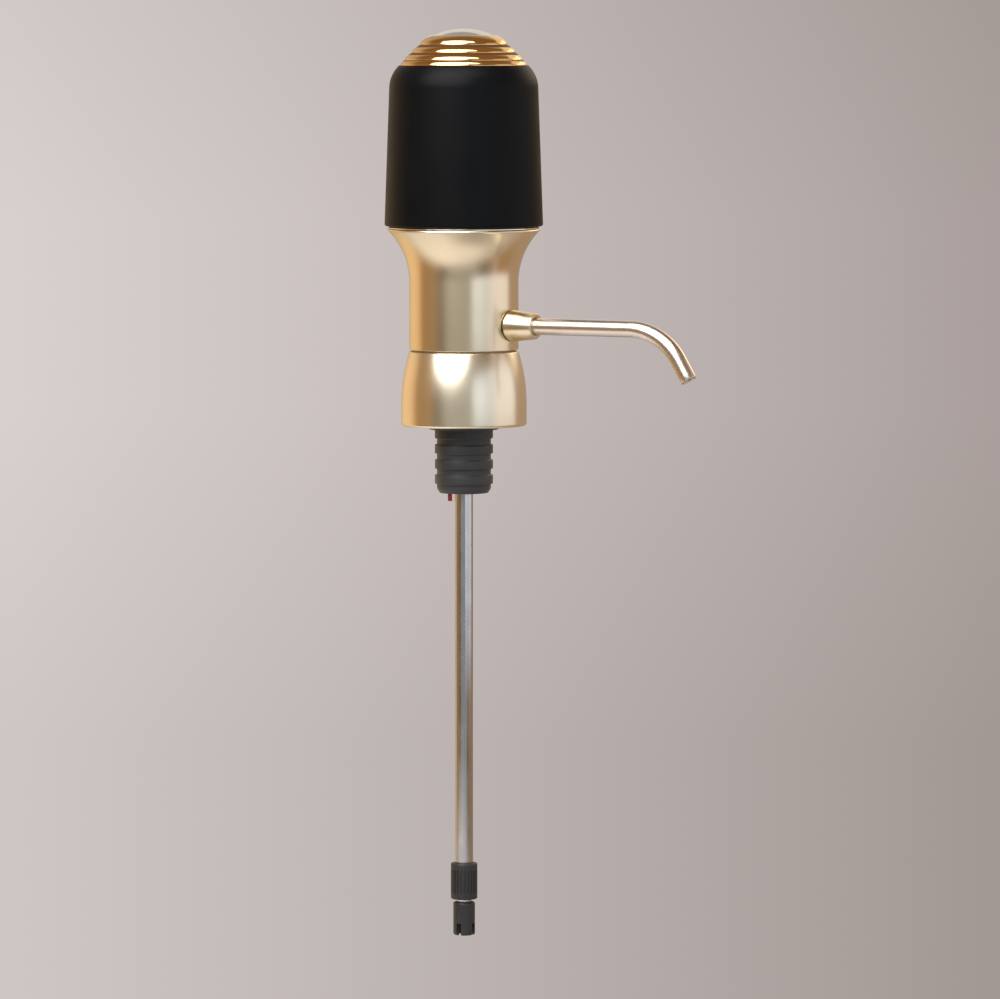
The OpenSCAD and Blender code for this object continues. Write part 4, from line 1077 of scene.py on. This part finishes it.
@dataclass
class StopperAndDipTube:
    """The ribbed silicone plug under the base and the telescopic tube in it."""

    flange_r: float = 11.6
    flange_t: float = 1.7
    rib_r: float = 9.6
    rib_depth: float = 0.7
    rib_h: float = 3.0
    rib_pitch: float = 5.0
    ribs: int = 4
    plug_end: float = -21.0
    plug_taper: float = 1.5
    plug_sides: int = 128
    bore_r: float = 7.1
    upper_r: float = 3.0
    upper_top: float = 7.8
    upper_end: float = -150.0
    tube_wall: float = 0.4
    tube_sides: int = 64
    press_gap: float = 0.05
    slide_gap: float = 0.1
    collar_r: float = 4.4
    collar_top: float = -144.0
    collar_end: float = -156.0
    grip_margin: float = 2.2
    grip_reach: float = 0.2
    flutes: int = 24
    flute_sides: int = 4
    flute_inset: float = 0.08
    flute_depth: float = 0.22
    lower_r: float = 2.45
    lower_top: float = -7.0
    lower_end: float = -162.0
    foot_r: float = 3.6
    foot_top: float = -157.0
    foot_end: float = -168.0
    foot_sides: int = 96
    foot_edge: float = 0.1
    foot_edge_steps: int = 2
    foot_sharp: float = 50.0
    slot_w: float = 1.6
    slot_h: float = 4.0
    slot_l: float = 20.0

    def build(self) -> None:
        """Builds the plug, both tubes, the collar and the strainer foot."""
        plug = lathe("stopper_plug", self.plug_outline(), self.plug_sides)
        fit(plug, "silicone_black", "body", "stopper", sharp=60.0)
        upper = self.pipe_outline(self.upper_r, self.upper_end, self.upper_top)
        fit(lathe("tube_outer", upper, self.tube_sides, bends=3), "steel", "body", "dip_tube_upper")
        lower = self.pipe_outline(self.lower_r, self.lower_end, self.lower_top)
        fit(lathe("tube_inner", lower, self.tube_sides, bends=3), "steel", "lower_tube", "dip_tube_lower")
        self.build_collar()
        self.build_foot()

    def plug_outline(self) -> list[Corner]:
        """Draws the plug with its rounded sealing ribs.

        Returns:
            The corners of a closed outline.
        """
        core_r = self.rib_r - self.rib_depth
        ribs: list[Corner] = []
        for i in range(self.ribs):
            top = -i * self.rib_pitch
            if i > 0:
                ribs.append((core_r, top, 0.2))
            ribs += [
                (self.rib_r, top, 0.0 if i == 0 else 0.3),
                (self.rib_r, top - self.rib_h, 0.3),
                (core_r, top - self.rib_h, 0.2),
            ]
        return [
            (self.bore_r, self.flange_t, 0.0),
            (self.flange_r, self.flange_t, 0.4),
            (self.flange_r, 0.0, 0.4),
            *ribs,
            (core_r, self.plug_end + self.plug_taper, 0.6),
            ((core_r + self.bore_r) / 2, self.plug_end, 0.3),
            (self.bore_r, self.plug_end, 0.0),
        ]

    def pipe_outline(self, radius: float, low: float, high: float) -> list[Corner]:
        """Draws the wall of a tube by its outer radius and its two ends."""
        inner = radius - self.tube_wall
        return [(inner, low, 0.1), (radius, low, 0.15), (radius, high, 0.15), (inner, high, 0.1)]

    def build_collar(self) -> None:
        """Turns the collar and presses grip flutes into its side."""
        slide_r, press_r = self.lower_r + self.slide_gap, self.upper_r + self.press_gap
        corners = [
            (slide_r, self.collar_end, 0.15),
            (self.collar_r, self.collar_end, 0.5),
            (self.collar_r, self.collar_end + self.grip_margin, 0.0),
            (self.collar_r, self.collar_top - self.grip_margin, 0.0),
            (self.collar_r, self.collar_top, 0.5),
            (press_r, self.collar_top, 0.15),
            (press_r, self.upper_end, 0.0),
            (slide_r, self.upper_end, 0.0),
        ]
        collar = lathe("tube_grip", corners, self.flutes * self.flute_sides, bends=5)
        margin = self.grip_margin - self.grip_reach
        low, high = (self.collar_end + margin) * MM, (self.collar_top - margin) * MM
        reach = (self.collar_r - self.slide_gap) * MM

        def fluted(face: Face) -> bool:
            """Picks the grip's side faces, two of each four around."""
            turn = math.atan2(face.center.y, face.center.x) / math.tau * self.flutes
            return turn % 1 < 0.5 and face.center.xy.length > reach and low < face.center.z < high

        select_faces(collar, fluted)
        bpy.ops.mesh.inset(thickness=self.flute_inset * MM, depth=-self.flute_depth * MM)
        object_mode()
        fit(collar, "black_plastic", "body", "tube_collar")

    def build_foot(self) -> None:
        """Turns the strainer foot and cuts its crossed slots."""
        inner, press_r = self.lower_r - self.tube_wall, self.lower_r + self.press_gap
        stop_z = self.lower_end - self.press_gap
        corners = [
            (inner, self.foot_end, 0.15),
            (self.foot_r, self.foot_end, 0.6),
            (self.foot_r, self.foot_top, 0.6),
            (press_r, self.foot_top, 0.0),
            (press_r, stop_z, 0.0),
            (inner, stop_z, 0.0),
        ]
        foot = lathe("tube_strainer", corners, self.foot_sides, bends=5)
        for width, length in ((self.slot_l, self.slot_w), (self.slot_w, self.slot_l)):
            deselect()
            bpy.ops.mesh.primitive_cube_add(size=MM, location=(0, 0, self.foot_end * MM))
            slot = bpy.context.object
            slot.scale = (width, length, 2 * self.slot_h)
            settle()
            combine(foot, slot)
        soften(foot, self.foot_edge, self.foot_edge_steps, self.foot_sharp)
        merge_slivers(foot)
        fit(foot, "black_plastic", "lower_tube", "tube_foot")


@dataclass
class FlexingParts:
    """The button's coil spring, and the pump's rubber diaphragm with the stems of its three cups.

    The stems go with the wobble plate and dip into sockets in the cups, because the cups
    themselves stay still where the real rubber stretches.
    """

    wire_r: float = 0.3
    wire_sides: int = 10
    spring_turns: int = 6
    turn_steps: int = 32
    button_travel: float = 1.2
    rim_r: float = 11.5
    rim_sides: int = 96
    rubber_z: float = 58.0
    rubber_top_z: float = 59.2
    screws: int = 3
    screw_ring_r: float = 10.2
    screw_start: float = 30.0
    screw_hole_r: float = 0.8
    cups: int = 3
    cup_ring_r: float = 5.6
    cup_r: float = 2.9
    cup_wall: float = 0.6
    cup_sides: int = 48
    cup_top_z: float = 61.4
    chamber_top_z: float = 59.5
    socket_r: float = 1.3
    socket_z: float = 60.0
    plate_z: float = 62.6
    plate_tilt: float = 6.0
    pad_t: float = 1.4
    stem_r: float = 0.9
    stem_reach: float = 1.8
    stem_sides: int = 40
    bulb_r: float = 1.5
    bulb_h: float = 0.7
    gap: float = 0.05

    def build(self) -> None:
        """Builds the spring, the diaphragm and the stems."""
        self.build_spring()
        self.build_diaphragm()
        self.build_stems()

    def build_spring(self) -> None:
        """Winds the spring by the screw modifier."""
        low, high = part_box("button_spring")
        height = high.z - low.z
        wire_r = self.wire_r * MM
        deselect()
        bpy.ops.mesh.primitive_circle_add(
            vertices=self.wire_sides,
            radius=wire_r,
            location=(high.x - wire_r, 0, low.z + wire_r),
            rotation=(math.pi / 2, 0, 0),
        )
        spring = bpy.context.object
        spring.name = "button_coil"
        settle()
        apply_modifier(
            spring,
            "SCREW",
            screw_offset=(height - 2 * wire_r) / self.spring_turns,
            iterations=self.spring_turns,
            steps=self.turn_steps,
            render_steps=self.turn_steps,
        )
        edit(Pick.CORNERS, whole=True)
        weld()
        bpy.ops.mesh.fill_holes(sides=0)
        bpy.ops.mesh.normals_make_consistent(inside=False)
        object_mode()
        fit(spring, "steel", "cover", "button_spring", sharp=60.0)
        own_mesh(spring)

    def build_diaphragm(self) -> None:
        """Turns the rubber disc, adds its hollow cups and cuts its screw holes."""
        disc = [
            (0.0, self.rubber_z, 0.0),
            (self.rim_r, self.rubber_z, 0.15),
            (self.rim_r, self.rubber_top_z, 0.15),
            (0.0, self.rubber_top_z, 0.0),
        ]
        inner, cup_z = self.cup_r - self.cup_wall, self.rubber_z + self.gap
        cup = [
            (inner, cup_z, 0.0),
            (self.cup_r, cup_z, 0.0),
            (self.cup_r, self.cup_top_z, 0.4),
            (self.socket_r, self.cup_top_z, 0.1),
            (self.socket_r, self.socket_z, 0.0),
            (0.0, self.socket_z, 0.0),
            (0.0, self.chamber_top_z, 0.0),
            (inner, self.chamber_top_z, 0.2),
        ]
        ring_r = self.cup_ring_r * math.cos(math.radians(self.plate_tilt))
        rubber = lathe("pump_diaphragm", disc, self.rim_sides)
        cup_pin, screw_pin = self.pin(self.cup_r - self.cup_wall / 2), self.pin(self.screw_hole_r)
        for hole in ring_of(cup_pin, self.cups, ring_r):
            combine(rubber, hole)
        for hole in ring_of(screw_pin, self.screws, self.screw_ring_r, self.screw_start):
            combine(rubber, hole)
        for part in ring_of(lathe("pump_cup", cup, self.cup_sides), self.cups, ring_r):
            combine(rubber, part, Join.ADD)
        merge_slivers(rubber)
        fit(rubber, "silicone_black", "body", "diaphragm", sharp=40.0)

    def pin(self, radius: float) -> Piece:
        """Makes a cutter that goes right through the disc, turned so that its edges miss a cup's.

        Args:
            radius: Its radius.

        Returns:
            A cylinder on the main line.
        """
        deselect()
        bpy.ops.mesh.primitive_cylinder_add(
            vertices=self.cup_sides,
            radius=radius * MM,
            depth=2 * (self.rubber_top_z - self.rubber_z) * MM,
            location=(0, 0, (self.rubber_z + self.rubber_top_z) / 2 * MM),
            rotation=(0, 0, math.pi / self.cup_sides),
        )
        settle()
        return bpy.context.object

    def build_stems(self) -> None:
        """Turns the stems with their bulbs and tilts them with the wobble plate."""
        pad_top = self.pad_t + self.gap
        corners = [
            (0.0, -self.stem_reach, 0.0),
            (self.stem_r, -self.stem_reach, 0.2),
            (self.stem_r, pad_top, 0.0),
            (self.bulb_r, pad_top, 0.1),
            (self.bulb_r, pad_top + self.bulb_h, 0.3),
            (0.0, pad_top + self.bulb_h, 0.0),
        ]
        copies = ring_of(lathe("pump_stem", corners, self.stem_sides), self.cups, self.cup_ring_r)
        stems = copies[0]
        activate(stems)
        for copy in copies:
            copy.select_set(True)
        bpy.ops.object.join()
        stems.name = "pump_stems"
        stems.rotation_euler = (0, math.radians(self.plate_tilt), 0)
        stems.location = (0, 0, self.plate_z * MM)
        settle()
        fit(stems, "silicone_black", "wobble", sharp=40.0)


@dataclass
class Works:
    """The solids that stay as they are: the motor, pump, cells and fasteners inside."""

    def build(self) -> None:
        """Gives each node that still shows the finish of its record slot."""
        slots = {part["node"]: part["material_slot"] for part in frame["record"]["subparts"]}
        for name, node in frame["nodes"].items():
            if not node.hide_render:
                node.data.materials.clear()
                node.data.materials.append(FINISHES[slots[name]].material())
                LOG.info("%s keeps its solid", name)


@dataclass(frozen=True)
class Softbox:
    """A soft lamp that faces the object, placed by its angle from the camera."""

    name: str
    turn: float
    rise: float
    distance: float
    width: float
    height: float
    radiance: float
    colour: str
    panel: Panel = Panel.SQUARE

    @property
    def area(self) -> float:
        """Gives the lit area in square metres."""
        return self.width * self.height * (1.0 if self.panel is Panel.SQUARE else math.pi / 4)


@dataclass
class Studio:
    """Camera, lamps, backdrop and floor, in metres."""

    azimuth: float = 30.0
    distance: float = 2.0
    eye_z: float = 0.128
    aim_right: float = 0.0119
    aim_z: float = -0.0233
    frame_w: float = 0.33
    sensor: float = 36.0
    clip_start: float = 0.1
    lamp_aim: Corner = (0.0, 0.0, 0.06)
    lamps: tuple[Softbox, ...] = (
        Softbox("key", -30.0, 36.0, 0.9, 1.12, 0.76, 6.0, "FBFCFF", Panel.ROUND),
        Softbox("top", -21.0, 65.5, 0.8, 1.0, 0.46, 4.5, "FFFFFF", Panel.ROUND),
        Softbox("window", 62.0, 1.0, 0.9, 1.85, 0.52, 0.9, "DCEAFF"),
        Softbox("tall_pane", 82.0, 24.0, 0.9, 0.5, 0.36, 0.3, "F0F4FF"),
        Softbox("rear", -124.0, -10.0, 0.9, 0.75, 0.75, 0.28, "FFB870"),
        Softbox("back", 150.0, 24.0, 1.1, 1.7, 0.7, 0.5, "FFF4E0"),
        Softbox("crest", 138.0, 20.0, 0.9, 0.6, 0.26, 1.1, "FFEDBE"),
    )
    # The wall that the camera sees, at the height of its middle and away from there
    wall: Banding = Banding("D8D0CF", (Band(Way.ACROSS, -0.08, 0.08, "ABA09D"),))
    wall_edge: Banding = Banding("CEC6C5", (Band(Way.ACROSS, -0.08, 0.08, "A29894"),))
    wall_middle: float = -0.045
    wall_fade: Point = (0.015, 0.07)
    # The room that the metal mirrors, from behind the object round to the camera, and its ceiling
    room: Banding = Banding(
        "D9C09B",
        (
            Band(Way.ACROSS, -0.35, -0.1, "98948F"),
            Band(Way.ACROSS, 0.1, 0.35, "B0967F"),
            Band(Way.TOWARD, -0.5, -0.1, "A68256"),
            Band(Way.TOWARD, 0.4, 0.62, "6F6350"),
            Band(Way.TOWARD, 0.7, 0.84, "A39F99"),
        ),
    )
    ceiling: Banding = Banding("B4B1AC", (Band(Way.TOWARD, -0.65, -0.45, "86694A"),))
    ceiling_fade: Point = (0.2, 0.65)
    fill: str = "B4AFAC"
    # The paper floor, and the shade on it behind the object
    floor_z: float = -0.3
    floor_r: float = 0.72
    floor_sides: int = 96
    floor_shift: float = 0.1
    floor_core: float = 0.4
    floor_roughness: float = 0.8
    paper: Banding = Banding(
        "DCD5CE", (Band(Way.ACROSS, -0.3, 0.0, "CDC6C3"), Band(Way.ACROSS, 0.3, 0.7, "9A948F"))
    )
    shade: Banding = Banding("8E8882", (Band(Way.ACROSS, 0.2, 0.38, "BCB5AE"),))
    shade_across: Point = (-0.02, 0.1)
    shade_toward: Point = (0.02, 0.12)

    @property
    def right(self) -> Vector:
        """Gives the camera's right-hand direction."""
        turn = math.radians(self.azimuth)
        return Vector((math.cos(turn), math.sin(turn), 0))

    @property
    def front(self) -> Vector:
        """Gives the level direction from the object to the camera."""
        turn = math.radians(self.azimuth)
        return Vector((math.sin(turn), -math.cos(turn), 0))

    def build(self) -> None:
        """Builds the camera, the lamps, the backdrop and the floor."""
        bpy.context.scene.view_settings.view_transform = "Standard"
        self.build_camera()
        for lamp in self.lamps:
            self.build_lamp(lamp)
        self.build_backdrop()
        self.build_floor()

    def build_camera(self) -> None:
        """Sets the camera at the photograph's angle and frame."""
        aim = self.right * self.aim_right + Vector((0, 0, self.aim_z))
        eye = aim + self.front * self.distance
        eye.z = self.eye_z
        look = aim - eye
        deselect()
        bpy.ops.object.camera_add(location=eye, rotation=look.to_track_quat("-Z", "Y").to_euler())
        camera = bpy.context.object
        camera.data.sensor_width = self.sensor
        camera.data.lens = self.sensor * look.length / self.frame_w
        camera.data.clip_start = self.clip_start
        bpy.context.scene.camera = camera

    def build_lamp(self, box: Softbox) -> None:
        """Adds one soft lamp.

        Args:
            box: Its place, size and brightness.
        """
        turn, rise = math.radians(box.turn), math.radians(box.rise)
        out = (self.front * math.cos(turn) + self.right * math.sin(turn)) * math.cos(rise)
        out.z = math.sin(rise)
        deselect()
        bpy.ops.object.light_add(
            type="AREA",
            location=out * box.distance + Vector(self.lamp_aim),
            rotation=out.to_track_quat("Z", "Y").to_euler(),
        )
        lamp = bpy.context.object
        lamp.name = box.name
        lamp.visible_camera = False
        lamp.data.shape = box.panel.value
        lamp.data.size = box.width
        lamp.data.size_y = box.height
        lamp.data.energy = box.radiance * math.pi * box.area
        lamp.data.color = linear(box.colour)[:3]

    def places(self, tree: Tree, spot: Socket) -> dict[Way, Socket]:
        """Measures a spot along each way.

        Args:
            tree: The tree that gets the nodes.
            spot: A place or a direction.

        Returns:
            How far the spot is across the view, and towards the camera.
        """
        found = {}
        for way, line in ((Way.ACROSS, self.right), (Way.TOWARD, self.front)):
            dot = add_node(tree, "VectorMath", {0: spot, 1: line}, operation="DOT_PRODUCT")
            found[way] = dot.outputs["Value"]
        return found

    def build_backdrop(self) -> None:
        """Makes a pale backdrop for the camera and the metal, and an even fill for the rest."""
        world = bpy.data.worlds.new("backdrop")
        bpy.context.scene.world = world
        world.use_nodes = True
        tree = world.node_tree
        tree.nodes.clear()
        look = add_node(tree, "TexCoord").outputs["Generated"]
        places = self.places(tree, look)
        height = add_node(tree, "SeparateXYZ", {"Vector": look}).outputs["Z"]
        lifted = add_node(tree, "Math", {0: height, 1: self.wall_middle}, operation="SUBTRACT")
        away = add_node(tree, "Math", {0: lifted.outputs["Value"]}, operation="ABSOLUTE")
        edge = self.wall_edge.lay(tree, places)
        wall = fade(tree, away.outputs["Value"], *self.wall_fade, self.wall.lay(tree, places), edge)
        ceiling = self.ceiling.lay(tree, places)
        room = fade(tree, height, *self.ceiling_fade, self.room.lay(tree, places), ceiling)
        path = add_node(tree, "LightPath").outputs
        rays = {0: path["Is Glossy Ray"], 1: path["Is Transmission Ray"]}
        seen = add_node(tree, "Math", rays, operation="MAXIMUM").outputs["Value"]
        mix = {MIX_SHARE: seen, MIX_FIRST: linear(self.fill), MIX_SECOND: room}
        mirrored = add_node(tree, "Mix", mix, data_type="RGBA").outputs[MIXED]
        mix = {MIX_SHARE: path["Is Camera Ray"], MIX_FIRST: mirrored, MIX_SECOND: wall}
        colour = add_node(tree, "Mix", mix, data_type="RGBA").outputs[MIXED]
        light = add_node(tree, "Background", {"Color": colour, "Strength": 1.0})
        add_node(tree, "OutputWorld", {"Surface": light.outputs["Background"]})

    def build_floor(self) -> None:
        """Lays a pale round floor that fades out at its rim and is clear from below."""
        place = (self.front - self.right) * self.floor_shift
        place.z = self.floor_z
        deselect()
        bpy.ops.mesh.primitive_circle_add(
            vertices=self.floor_sides, radius=self.floor_r, fill_type="NGON", location=place
        )
        floor = bpy.context.object
        floor.name = "floor"
        floor.data.materials.append(self.floor_paper())

    def floor_paper(self) -> bpy.types.Material:
        """Makes the floor's paper, which is darker away from the key and shaded behind the object.

        Returns:
            The material.
        """
        made = bpy.data.materials.new("pale_paper_floor")
        made.use_nodes = True
        tree = made.node_tree
        shader = tree.nodes["Principled BSDF"]
        shader.inputs["Roughness"].default_value = self.floor_roughness
        spot = add_node(tree, "TexCoord").outputs["Object"]
        places = self.places(tree, spot)
        plain, shade = self.paper.lay(tree, places), self.shade.lay(tree, places)
        shaded = fade(tree, places[Way.ACROSS], *self.shade_across, plain, shade)
        paper = fade(tree, places[Way.TOWARD], *self.shade_toward, shaded, plain)
        tree.links.new(paper, shader.inputs["Base Color"])
        radius = add_node(tree, "VectorMath", {0: spot}, operation="LENGTH").outputs["Value"]
        reach = {"From Min": self.floor_r * self.floor_core, "From Max": self.floor_r}
        ends = {"Value": radius, **reach, "To Min": 1.0, "To Max": 0.0}
        solid = add_node(tree, "MapRange", ends, interpolation_type="SMOOTHSTEP").outputs["Result"]
        under = add_node(tree, "NewGeometry").outputs["Backfacing"]
        above = add_node(tree, "Math", {0: 1.0, 1: under}, operation="SUBTRACT").outputs["Value"]
        alpha = add_node(tree, "Math", {0: solid, 1: above}, operation="MULTIPLY").outputs["Value"]
        tree.links.new(alpha, shader.inputs["Alpha"])
        return made


def write_sizes() -> None:
    """Updates the view layer."""
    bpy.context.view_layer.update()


def main() -> None:
    """Builds the studio and every sub-assembly in order."""
    logging.basicConfig(level=logging.INFO, format="%(message)s")
    upper = (Studio(), ButtonAndCrown(), BatteryCover(), WaistAndBase())
    for part in (*upper, Spout(), StopperAndDipTube(), FlexingParts(), Works()):
        LOG.info("building %s", type(part).__name__)
        part.build()
    write_sizes()


if __name__ == "__main__":
    main()
